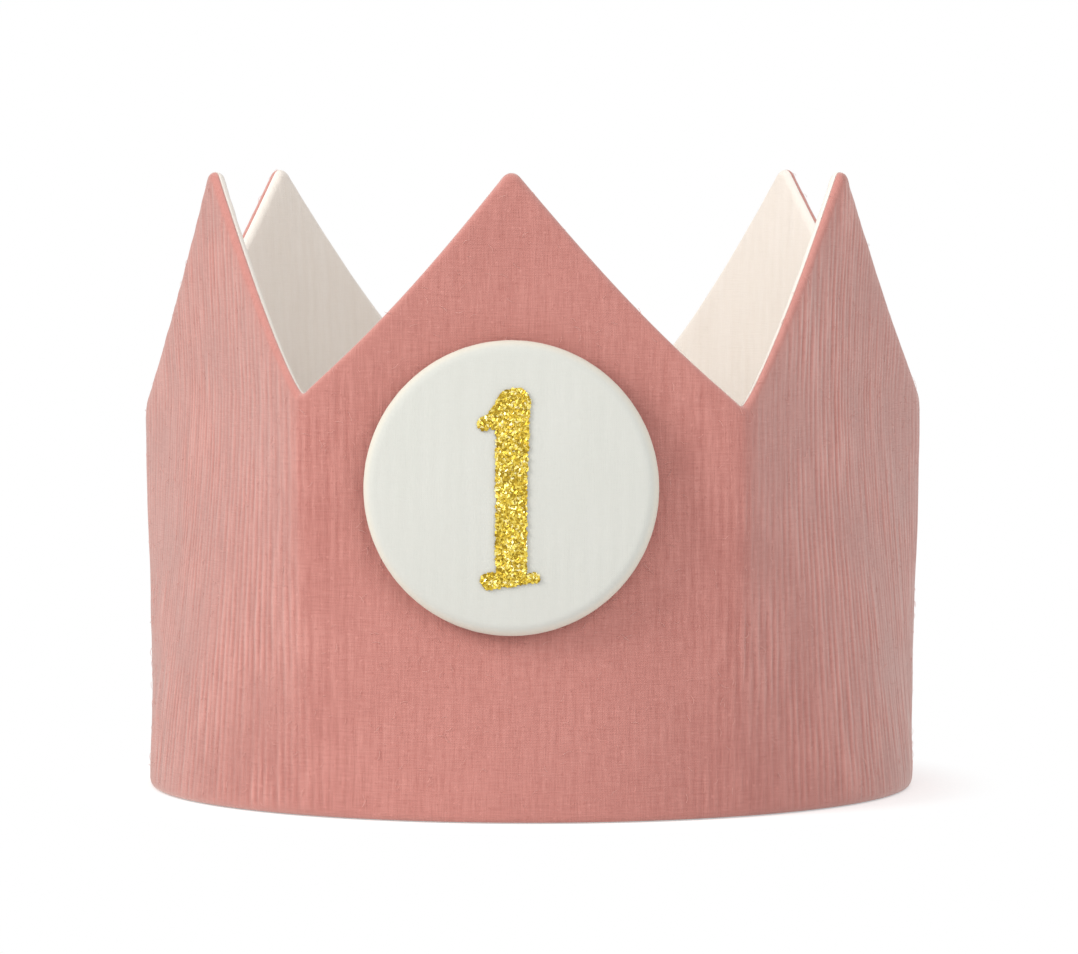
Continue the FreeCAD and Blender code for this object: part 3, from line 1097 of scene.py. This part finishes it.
        # Distance to the nearest seam, along the cloth
        steps = np.hypot(np.diff(offset, axis=1), np.diff(height, axis=1))
        length = np.concatenate([np.zeros((len(place), 1)), np.cumsum(steps, axis=1)], axis=1)
        left = length[:, shown - 1 : shown] - length
        from_top = np.clip(left / stretch[:, None], 0, None)
        from_seam = np.minimum(length, from_top)
        from_seam[:, shown:] = 0
        clear = eased(*self.seam_rest, from_seam) * eased(*self.end_rest, inward)

        # Slow unevenness, and gathers along the top seam
        waves = uneven(along / self.sag_length, height / self.sag_height, self.seed)
        stretched = along * stretch[:, None] / self.pucker_pitch
        beat = uneven(stretched, height / self.pucker_height, self.seed + 1)
        below = from_top / self.pucker_reach
        gathered = below * np.exp(1 - below) * eased(*self.pucker_rest, inward)
        gathered[:, shown:] = 0
        slack = self.sag * waves * clear + self.pucker * beat * gathered
        points = form.point(along, sign * (offset + slack), height)

        # What the crinkle and the finish read
        outward = np.stack([np.sin(angle), -np.cos(angle), 0 * angle], -1)
        busy = self.quiet_share + (1 - self.quiet_share) * eased(*self.ribbed, np.abs(along))
        lift = sign * outward * (clear * busy)[..., None]
        # Painted highlight along the seams, full at the turned edge
        edge = np.clip(1 - from_seam / self.edge_highlight_width, 0, 1)
        across = np.clip(points[..., 0] / (form.rim_radius + sign * offset), -1, 1)
        turned = np.where(np.abs(angle) < QUARTER_TURN, np.arcsin(across), angle)
        kept = self.upright * (1 - eased(*self.upright_turn, np.abs(angle)))
        straight = form.rim_radius * turned
        cloth = np.stack([along + (straight - along) * kept, length, edge], -1)
        made = make_object(
            self.name,
            points.reshape(-1, 3),
            tube_faces(*offset.shape),
            {"cloth": cloth.reshape(-1, 3), "lift": lift.reshape(-1, 3)},
        )
        self.crinkle.apply(made, self.finish.build())
        seat_piece(made, self.slot, self.node)
        form.flat_area()
        return made


@dataclass
class LooseFibres:
    """Short cotton fibres that stand off the gauze, as on any washed cloth."""

    per_area: float = 0.042  # fibres on a square millimetre
    length: float = 1.5
    thickness: float = 0.07
    rise: float = 0.35  # how far a fibre's middle stands off, as a share of its length
    tilt: float = 0.2  # radians by which a fibre is tipped either way
    shares: tuple[float, float] = (0.5, 1.3)  # least and most share of the length
    floor_gap: float = 2.5  # no fibre grows lower than this
    facing: float = 0.2  # least share of a face's normal that points away from the axis
    seed: int = 4

    def build(self, cover: bpy.types.Object) -> bpy.types.Object:
        """Makes, dresses and seats the fibres on the shown side of the cover.

        Args:
            cover: the finished outer cloth.

        Returns:
            The fibres, as one piece.
        """
        shown = []
        for face in cover.data.polygons:
            out = face.center.x * face.normal.x + face.center.y * face.normal.y
            clear = face.center.z > self.floor_gap * MM
            if len(face.vertices) == 4 and clear and out > self.facing * face.center.xy.length:
                shown.append(tuple(face.vertices))
        made = ground_object("loose_fibres", cover.data, shown)
        sizes = {
            "Fibres per Area": self.per_area / MM**2,
            "Fibre Length": self.length * MM,
            "Fibre Rise": self.rise,
            "Fibre Thickness": self.thickness / self.length,
            "Seed": self.seed,
        }
        tree, source = new_tree("loose_fibres", sizes)
        surface = {"Mesh": source.outputs["Geometry"], "Seed": source.outputs["Seed"]}
        surface["Density"] = source.outputs["Fibres per Area"]
        kind = "GeometryNodeDistributePointsOnFaces"
        spread = add(tree, kind, surface, distribute_method="RANDOM")
        # One bowed fibre, a unit long, with its foot just under the surface
        high = {0: 0.1, 1: 0.25, 2: source.outputs["Fibre Rise"]}
        middle = add(tree, "ShaderNodeCombineXYZ", high)
        bend = {"Resolution": 4, "Start": (-0.5, 0, -0.02), "End": (0.5, 0, 0.08)}
        bend["Middle"] = middle.outputs[0]
        bow = add(tree, "GeometryNodeCurveQuadraticBezier", bend)
        halved = {0: source.outputs["Fibre Thickness"], 1: 0.5}
        half = add(tree, "ShaderNodeMath", halved, operation="MULTIPLY")
        ring = {"Resolution": 3, "Radius": half.outputs[0]}
        section = add(tree, "GeometryNodeCurvePrimitiveCircle", ring)
        swept = {"Curve": bow.outputs[0], "Profile Curve": section.outputs[0], "Fill Caps": True}
        fibre = add(tree, "GeometryNodeCurveToMesh", swept)
        laid = strewn(
            tree,
            spread.outputs["Points"],
            spread.outputs["Rotation"],
            fibre.outputs[0],
            turns=((-self.tilt, -self.tilt, -math.pi), (self.tilt, self.tilt, math.pi)),
            shares=self.shares,
            size=source.outputs["Fibre Length"],
        )
        end_tree(tree, laid, LOOSE_FIBRE.build())
        run_tree(made, tree, sizes)
        seat_piece(made, "pink_gauze")
        return made


@dataclass
class ElasticBand:
    """Ribbed elastic across the back, with both ends between the cloths."""

    form: WallForm
    width: float = 30.0
    thickness: float = 1.2
    low: float = 9.0
    tuck: float = 11.0
    rib_count: int = 24
    rib_depth: float = 0.22
    pitch: float = 0.8
    points_per_rib: int = 5
    rib_power: float = 0.6  # below 1, so that the ribs are round and the grooves narrow
    edge_thin: float = 0.3  # how much thinner the band's two edges are, on each face
    slack: float = 0.12  # unevenness of the stretch between the strip's ends
    slack_size: tuple[float, float] = (5.0, 60.0)  # of one wave, along the band and up
    slack_start: float = 6.0  # over which the slack begins, from the strip's ends
    seed: int = 5

    def build(self) -> bpy.types.Object:
        """Makes, dresses and seats the band.

        Returns:
            The band.
        """
        form = self.form
        start = form.end - self.tuck
        length = form.back_opening + 2 * self.tuck
        place = np.linspace(start, start + length, math.ceil(length / self.pitch) + 1)
        across = np.linspace(0, 1, self.rib_count * self.points_per_rib + 1)
        groove = np.abs(np.sin(math.pi * self.rib_count * across)) ** self.rib_power
        half = self.thickness / 2 - self.rib_depth * (1 - groove)
        half[[0, -1]] = self.thickness / 2 - self.edge_thin
        height = self.low + self.width * across
        offset = np.concatenate([half, -half[::-1]])
        level = np.concatenate([height, height[::-1]])
        along = place[:, None] + 0 * level
        free = eased(0, self.slack_start, place - form.end)
        free = free * eased(0, self.slack_start, form.end + form.back_opening - place)
        waves = uneven(along / self.slack_size[0], level / self.slack_size[1], self.seed)
        ripple = self.slack * free[:, None] * (waves - 0.5)
        points = form.point(along, offset + ripple, level + 0 * along)
        made = make_object(
            "elastic_band", points.reshape(-1, 3), tube_faces(len(place), len(level))
        )
        made.data.materials.append(WOVEN_ELASTIC.build())
        seat_piece(made, "elastic", "back_elastic")
        return made


@dataclass
class EndStitches:
    """Rows of machine stitches that close the strip's two ends over the elastic."""

    form: WallForm
    inward: float = 4.2  # from the end of the strip
    low: float = 4.0
    high: float = 79.0
    sink: float = 0.06
    bed: float = 0.12  # how far the cloth gives way under a stitch
    pitch: float = 3.0
    length: float = 2.5
    thickness: float = 0.42
    steps: int = 76  # points on the line of a row

    def build(self) -> bpy.types.Object:
        """Makes, dresses and seats the stitches.

        Returns:
            The stitches, as one piece.
        """
        form = self.form
        steps = self.steps
        height = np.linspace(self.low, self.high, steps)
        lines, edges = [], []
        for end in (-1, 1):
            place = end * (form.end - self.inward)
            for side in (-1, 1):
                reach = side * (form.thickness / 2 + self.thickness / 2 - self.sink - self.bed)
                first = len(lines) * steps
                lines.append(form.point(np.full(steps, place), np.full(steps, reach), height))
                edges += [(first + i, first + i + 1) for i in range(steps - 1)]
        made = make_object("end_stitches", np.concatenate(lines), [], edges=edges)
        sizes = {
            "Stitch Pitch": self.pitch * MM,
            "Stitch Length": self.length * MM,
            "Thread Thickness": self.thickness * MM,
        }
        tree, source = new_tree("stitch_rows", sizes)
        line = add(tree, "GeometryNodeMeshToCurve", {"Mesh": source.outputs["Geometry"]})
        spaced = add(
            tree,
            "GeometryNodeResampleCurve",
            {"Curve": line.outputs[0], "Length": source.outputs["Stitch Pitch"]},
            mode="LENGTH",
        )
        stitch = add(tree, "GeometryNodeMeshUVSphere", {"Segments": 8, "Rings": 6, "Radius": 0.5})
        tangent = add(tree, "GeometryNodeInputTangent")
        turned = add(
            tree, "FunctionNodeAlignRotationToVector", {"Vector": tangent.outputs[0]}, axis="X"
        )
        thread = source.outputs["Thread Thickness"]
        size = add(
            tree, "ShaderNodeCombineXYZ", {0: source.outputs["Stitch Length"], 1: thread, 2: thread}
        )
        rows = add(
            tree,
            "GeometryNodeInstanceOnPoints",
            {
                "Points": spaced.outputs[0],
                "Instance": stitch.outputs["Mesh"],
                "Rotation": turned.outputs[0],
                "Scale": size.outputs[0],
            },
        )
        end_tree(tree, rows.outputs[0], SEWING_THREAD.build())
        run_tree(made, tree, sizes)
        seat_piece(made, "pink_gauze")
        return made


@dataclass
class Badge:
    """Round button badge: cloth over a pressed shell, with a glitter figure on its front."""

    form: WallForm
    height: float = 66.0
    place: float = -2.1
    radius: float = 29.25
    depth: float = 4.5
    rim_round: float = 2.6
    rise: float = 1.2
    cloth: float = 0.5
    shell: float = 0.5
    turn_in: float = 1.8
    plate_low: float = 1.15
    plate_inset: float = 0.3
    segments: int = 288
    gather_count: int = 46
    gather_depth: float = 0.16
    gather_start: float = 1.0  # above the middle of the rim's round
    gather_fade: float = 3.4  # length over which the gathers reach their full depth
    gather_seed: int = 21
    front_steps: tuple[int, int] = (9, 44)  # points round the rim and over the dome
    inner_steps: tuple[int, int] = (4, 12)  # the same on the cloth's hidden face
    rim_highlight_band: tuple[float, float] = (1.6, 0.2)  # the painted highlight on the rim starts and is full this far in
    # strength of the painted highlight on the rim
    rim_highlight: float = 0.7
    lift_middle: float = 0.7  # height of the crinkle at the middle of the front
    lift_gain: float = 0.3  # what it gains away from there
    lift_reach: float = 6.0  # over which it gains that
    smooth_points: int = 10  # points next to the edge with no crinkle
    cut: float = 0.072  # metres across the circle that is cut for it
    crinkle: Crinkle = Crinkle(spacing=3.0, run=30.0, wander=1.6, depth=0.055, seed=9)

    def __post_init__(self) -> None:
        """Works out the badge's own axes, and the circles of its front."""
        form, half = self.form, self.form.thickness / 2
        low = form.point(self.place, half, self.height - self.radius)
        high = form.point(self.place, half, self.height + self.radius)
        left = form.point(self.place - self.radius, half, self.height)
        right = form.point(self.place + self.radius, half, self.height)
        up = high - low
        outward = np.cross(right - left, up)
        self.outward = outward / np.linalg.norm(outward)
        self.up = up / np.linalg.norm(up)
        self.right = np.cross(self.up, self.outward)
        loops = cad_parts["crown_loop_patch"].data.vertices
        corners = np.array([v.co for v in loops]) / MM
        middle = (low + high) / 2
        crest = ((corners - middle) @ self.outward).max()
        self.seat = middle + self.outward * crest
        self.low = self.plate_low - self.plate_inset
        self.fold = self.cloth + form.ply_gap + self.shell / 2
        self.rim_low = self.low + self.fold
        self.rim_centre = (self.radius - self.rim_round, self.low + self.depth - self.rim_round)
        self.dome_top = self.low + self.depth + self.rise
        across, along = self.rim_centre
        self.dome_centre = ((self.dome_top - self.rim_round) ** 2 - across**2 - along**2) / (
            2 * self.rise
        )

    def front(self, depth: float, rim_steps: int, dome_steps: int) -> list[tuple[float, float]]:
        """Side, rim and dome of the badge, up to its axis.

        Args:
            depth: how far below the cloth's surface.
            rim_steps: points round the rim.
            dome_steps: points over the dome.

        Returns:
            Radius and height of each point.
        """
        across, along = self.rim_centre
        tilt = math.atan2(across, along - self.dome_centre)
        reach = self.dome_top - self.dome_centre - depth
        small = self.rim_round - depth
        path = [(self.radius - depth, self.rim_low)]
        for turn in np.linspace(QUARTER_TURN, tilt, rim_steps):
            path.append((across + small * math.sin(turn), along + small * math.cos(turn)))
        for turn in np.linspace(tilt, 0, dome_steps)[1:]:
            path.append((reach * math.sin(turn), self.dome_centre + reach * math.cos(turn)))
        return path

    def cloth_piece(self) -> bpy.types.Object:
        """Makes, dresses and seats the cloth, gathered round the shell's edge.

        Returns:
            The cloth.
        """
        outer = self.front(0, *self.front_steps)
        inner = self.front(self.cloth, *self.inner_steps)
        middle = self.radius - self.fold
        turn_top = self.low + self.turn_in
        small = self.fold - self.cloth
        rounds = np.linspace(0, math.pi, 9)
        under = [
            (middle - self.fold * math.cos(t), self.rim_low - self.fold * math.sin(t))
            for t in rounds
        ]
        inside = [
            (middle + small * math.cos(t), self.rim_low - small * math.sin(t))
            for t in rounds[::2]
        ]
        leg = [(middle - self.fold, turn_top), (middle - small, turn_top)]
        # From the front's middle out, round the edge, up the turned-in leg and back to the axis
        fold = under[::-1]
        profile = np.array(outer[::-1] + fold[1:] + leg + inside[::-1] + inner[1:])
        shown = len(outer) + len(fold) - 1
        turn = np.linspace(0, 2 * math.pi, self.segments, endpoint=False)
        ahead = np.diff(profile, axis=0, append=profile[-1:])
        back = np.diff(profile, axis=0, prepend=profile[:1])
        run = ahead + back
        normal = np.stack([-run[:, 1], run[:, 0]], -1) / np.linalg.norm(run, axis=1)[:, None]
        normal[: len(outer)] *= -1 if normal[0, 1] < 0 else 1
        normal[0] = (0, 1)
        # Gathers deepen from the rim round to the back
        reach = np.zeros(len(profile))
        gather_top = self.rim_centre[1] + self.gather_start
        reach[:shown] = eased(0, 1, (gather_top - profile[:shown, 1]) / self.gather_fade)
        counts = (self.gather_count, self.gather_count - 9, self.gather_count + 13)
        phase = np.random.default_rng(self.gather_seed).uniform(0, 2 * math.pi, len(counts))
        beat = sum(np.cos(n * turn + p) / len(counts) for n, p in zip(counts, phase))
        dip = self.gather_depth * reach[None, :] * (0.5 + 0.5 * beat[:, None])
        radial = profile[None, :, 0] - dip * np.abs(normal[None, :, 0])
        level = profile[None, :, 1]
        level = level + dip * np.abs(normal[None, :, 1]) * (level < self.rim_low)
        x, y = radial * np.sin(turn)[:, None], radial * np.cos(turn)[:, None]
        points = self.seat + self.placed(x, y, level)
        mask = np.zeros(len(profile))
        gained = eased(0, self.lift_reach, profile[: len(outer), 0]) * self.lift_gain
        mask[: len(outer)] = gained + self.lift_middle
        mask[len(outer) - self.smooth_points : len(outer)] = 0
        facing = np.zeros((len(turn), len(profile), 3)) - self.outward * mask[None, :, None]
        # Painted highlight round the rim, where the cloth rolls over the shell's edge
        start, full = self.rim_highlight_band
        rim = eased(self.radius - start, self.radius - full, radial)
        rim = self.rim_highlight * rim * (np.arange(len(profile)) < shown)
        cloth = np.stack([x, y + (level - self.rim_low), rim], -1)
        steps = len(profile)
        column = np.arange(self.segments)[:, None] * steps
        after = (np.arange(self.segments)[:, None] + 1) % self.segments * steps
        row = np.arange(steps - 1)[None, :]
        quads = np.stack([column + row, column + row + 1, after + row + 1, after + row], -1)
        made = make_object(
            "badge_cloth",
            points.reshape(-1, 3),
            quads.reshape(-1, 4).tolist(),
            {"cloth": cloth.reshape(-1, 3), "lift": facing.reshape(-1, 3)},
        )
        self.crinkle.apply(made, BADGE_COTTON.build())
        seat_piece(made, "badge_cotton", "badge_cover")
        return made

    def placed(self, x: np.ndarray, y: np.ndarray, z: np.ndarray) -> np.ndarray:
        """Directions from the badge's seat for places on its own axes."""
        return x[..., None] * self.right + y[..., None] * self.up + z[..., None] * self.outward


@dataclass
class GlitterFigure:
    """The figure one: its film is the solid, and its flakes lie over it."""

    outward: np.ndarray
    flake: float = 0.92  # across a flake
    shares: tuple[float, float] = (0.55, 1.1)  # least and most share of that
    per_area: float = 12.0  # flakes on a square millimetre
    corners: int = 5
    thickness: float = 0.07  # as a share of a flake's size
    tilt: float = 0.5
    facing: float = 0.8  # least share of a face's normal that points to the front
    seed: int = 7

    def build(self) -> bpy.types.Object:
        """Makes, dresses and seats the flakes, and dresses the film.

        Returns:
            The flakes, as one piece.
        """
        gold = GoldGlitter().build()
        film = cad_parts["numeral_one"]
        for slot in film.material_slots:
            slot.material = gold
        ahead = Vector(self.outward)
        shown = [p for p in film.data.polygons if p.normal.dot(ahead) > self.facing]
        front = [tuple(p.vertices) for p in shown]
        made = ground_object("numeral_glitter", film.data, front)
        sizes = {
            "Flake Size": self.flake * MM,
            "Flakes per Area": self.per_area / MM**2,
            "Tilt": self.tilt,
            "Seed": self.seed,
        }
        tree, source = new_tree("glitter", sizes)
        surface = {"Mesh": source.outputs["Geometry"], "Seed": source.outputs["Seed"]}
        surface["Density"] = source.outputs["Flakes per Area"]
        kind = "GeometryNodeDistributePointsOnFaces"
        spread = add(tree, kind, surface, distribute_method="RANDOM")
        # Each flake draws its place on the finish's ramp from painted shade to painted glint
        drawn = {2: 0.0, 3: 1.0, "Seed": 1}
        shade = add(tree, "FunctionNodeRandomValue", drawn, data_type="FLOAT")
        marked = add(
            tree,
            "GeometryNodeStoreNamedAttribute",
            {"Geometry": spread.outputs["Points"], "Name": "shade", "Value": shade.outputs[1]},
            data_type="FLOAT",
            domain="POINT",
        )
        shape = {"Vertices": self.corners, "Radius": 0.5, "Depth": self.thickness}
        flake = add(tree, "GeometryNodeMeshCylinder", shape, fill_type="NGON")
        lean = source.outputs["Tilt"]
        most = add(tree, "ShaderNodeCombineXYZ", {0: lean, 1: lean, 2: math.pi}).outputs[0]
        turned = {0: most, "Scale": -1.0}
        least = add(tree, "ShaderNodeVectorMath", turned, operation="SCALE").outputs[0]
        laid = strewn(
            tree,
            marked.outputs[0],
            spread.outputs["Rotation"],
            flake.outputs["Mesh"],
            turns=(least, most),
            shares=self.shares,
            size=source.outputs["Flake Size"],
        )
        end_tree(tree, laid, gold)
        run_tree(made, tree, sizes)
        seat_piece(made, "gold_glitter")
        return made


@dataclass
class HiddenPieces:
    """Solids that keep their own shape: the interlining, the shell, its plate and the two tapes."""

    finishes: dict[str, Grained] = field(
        default_factory=lambda: {
            "stiffener": NEEDLED_FELT,
            "badge_shell": TINPLATE,
            "badge_back_plate": MOULDED_PLASTIC,
            "badge_hook_patch": HOOK_TAPE,
            "crown_loop_patch": LOOP_TAPE,
        }
    )

    def dress(self) -> None:
        """Gives each solid its finish."""
        for name, finish in self.finishes.items():
            material = finish.build()
            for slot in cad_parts[name].material_slots:
                slot.material = material
            LOG.info("%s: solid kept, finish %s", name, finish.name)


# ---------------------------------------------------------------- studio


@dataclass(frozen=True)
class Lamp:
    """A square soft light that looks at the crown."""

    name: str
    place: tuple[float, float, float]
    side: float
    power: float
    colour: str = WHITE


@dataclass
class Studio:
    """White floor and surround, soft lamps, and the camera at the photograph's angle."""

    eye: tuple[float, float, float] = (0.03277, -1.30481, 0.13632)
    heading: float = -0.02382  # radians from +Y towards +X
    pitch: float = 0.05524  # radians below level
    lens: float = 208.0  # millimetres, as the sensor's width is
    sensor: float = 36.0
    aim: tuple[float, float, float] = (0.0, 0.0, 0.06)  # where the lamps look
    surround: float = 0.66  # light from all round that reaches the crown
    floor_glow: float = 0.42  # what the floor adds for the eye, so that it is white
    floor_radius: float = 4.0
    floor_sides: int = 64
    floor_drop: float = 0.0002  # keeps the floor clear of the rim that stands on it
    floor_white: float = 0.8  # share of the light that the floor gives back
    shadow_near: float = 0.08  # the floor's shadow fades out between these distances
    shadow_far: float = 0.1
    lamps: tuple[Lamp, ...] = (
        Lamp("key", (-1.3, -0.8, 0.9), 0.8, 16.0, "#FFFBF6"),
        Lamp("fill", (0.7, -1.6, 0.7), 1.2, 8.0),
    )

    def build(self) -> None:
        """Makes the studio."""
        scene = bpy.context.scene
        scene.view_settings.view_transform = "Standard"
        self.make_world(scene)
        self.make_floor(scene)
        target = Vector(self.aim)
        for lamp in self.lamps:
            light = bpy.data.lights.new(lamp.name, "AREA")
            light.size = lamp.side
            light.energy = lamp.power
            light.color = linear(lamp.colour)[:3]
            holder = bpy.data.objects.new(lamp.name, light)
            holder.location = lamp.place
            holder.rotation_euler = (target - holder.location).to_track_quat("-Z", "Y").to_euler()
            scene.collection.objects.link(holder)
        lens = bpy.data.cameras.new("camera")
        lens.lens = self.lens
        lens.sensor_width = self.sensor
        camera = bpy.data.objects.new("camera", lens)
        camera.location = self.eye
        level = math.cos(self.pitch)
        view = Vector(
            (math.sin(self.heading) * level, math.cos(self.heading) * level, -math.sin(self.pitch))
        )
        camera.rotation_euler = view.to_track_quat("-Z", "Y").to_euler()
        scene.collection.objects.link(camera)
        scene.camera = camera

    @staticmethod
    def eye_share(tree: bpy.types.NodeTree) -> bpy.types.NodeSocket:
        """Tells what the eye sees from what lights the crown.

        Args:
            tree: the material's or the world's tree.

        Returns:
            1 for what is seen, straight or in gloss and glass, and otherwise 0.
        """
        path = add(tree, "ShaderNodeLightPath")
        share = path.outputs["Is Camera Ray"]
        for name in ("Is Glossy Ray", "Is Transmission Ray"):
            either = {0: share, 1: path.outputs[name]}
            share = add(tree, "ShaderNodeMath", either, operation="MAXIMUM").outputs[0]
        return share

    def make_world(self, scene: bpy.types.Scene) -> None:
        """Makes a white surround for the eye, and an even light from all round for the crown.

        Args:
            scene: the scene that it goes round.
        """
        world = bpy.data.worlds.new("studio")
        world.use_nodes = True
        tree = world.node_tree
        tree.nodes.clear()
        lit = add(tree, "ShaderNodeBackground", {"Color": linear(WHITE), "Strength": self.surround})
        seen = add(tree, "ShaderNodeBackground", {"Color": linear(WHITE), "Strength": 1.0})
        both = {0: self.eye_share(tree), 1: lit.outputs[0], 2: seen.outputs[0]}
        mix = add(tree, "ShaderNodeMixShader", both)
        add(tree, "ShaderNodeOutputWorld", {"Surface": mix.outputs[0]})
        scene.world = world

    def make_floor(self, scene: bpy.types.Scene) -> None:
        """Makes the pale floor, which keeps the crown's shadow close to the rim.

        Args:
            scene: the scene that it goes into.
        """
        turn = np.linspace(0, 2 * math.pi, self.floor_sides, endpoint=False)
        rim = np.stack([np.cos(turn), np.sin(turn), 0 * turn], -1) * self.floor_radius
        mesh = bpy.data.meshes.new("floor")
        rim[:, 2] -= self.floor_drop
        mesh.from_pydata(rim.tolist(), [], [tuple(range(self.floor_sides))])
        floor = bpy.data.objects.new("floor", mesh)
        scene.collection.objects.link(floor)
        material = bpy.data.materials.new("painted_floor")
        material.use_nodes = True
        tree = material.node_tree
        tree.nodes.clear()
        paint = add(tree, "ShaderNodeBsdfDiffuse", {"Color": (*[self.floor_white] * 3, 1.0)})
        glow = add(
            tree,
            "ShaderNodeMath",
            {0: self.eye_share(tree), 1: self.floor_glow},
            operation="MULTIPLY",
        )
        shine = add(tree, "ShaderNodeEmission", {"Strength": glow.outputs[0]})
        near = add(tree, "ShaderNodeAddShader", {0: paint.outputs[0], 1: shine.outputs[0]})
        place = add(tree, "ShaderNodeTexCoord").outputs["Object"]
        away = add(tree, "ShaderNodeVectorMath", {0: place}, operation="LENGTH").outputs["Value"]
        span = {"Value": away, "From Min": self.shadow_near, "From Max": self.shadow_far}
        fade = add(tree, "ShaderNodeMapRange", span, interpolation_type="SMOOTHSTEP")
        seen = {0: fade.outputs[0], 1: self.eye_share(tree)}
        white = add(tree, "ShaderNodeMath", seen, operation="MULTIPLY")
        far = add(tree, "ShaderNodeEmission", {"Strength": 1.0})
        mix = {0: white.outputs[0], 1: near.outputs[0], 2: far.outputs[0]}
        both = add(tree, "ShaderNodeMixShader", mix)
        add(tree, "ShaderNodeOutputMaterial", {"Surface": both.outputs[0]})
        mesh.materials.append(material)


def main() -> None:
    """Builds the crown and its studio, piece by piece."""
    logging.basicConfig(level=logging.INFO, format="%(name)s: %(message)s", stream=sys.stdout)
    Studio().build()
    form = WallForm()
    cover = ClothStrip(
        form,
        name="cover_cloth",
        node="outer_cover",
        slot="pink_gauze",
        side=Side.OUTSIDE,
        ply=form.cover_ply,
        finish=PINK_GAUZE,
        crinkle=Crinkle(),
        seed=11,
    ).build()
    ClothStrip(
        form,
        name="lining_cloth",
        node="inner_lining",
        slot="lining_cotton",
        side=Side.INSIDE,
        ply=form.lining_ply,
        finish=LINING_COTTON,
        crinkle=Crinkle(spacing=2.8, run=12.0, wander=2.0, depth=0.1, seed=6),
        seed=31,
    ).build()
    LooseFibres().build(cover)
    ElasticBand(form).build()
    EndStitches(form).build()
    badge = Badge(form)
    badge.cloth_piece()
    GlitterFigure(badge.outward).build()
    HiddenPieces().dress()


if __name__ == "__main__":
    main()
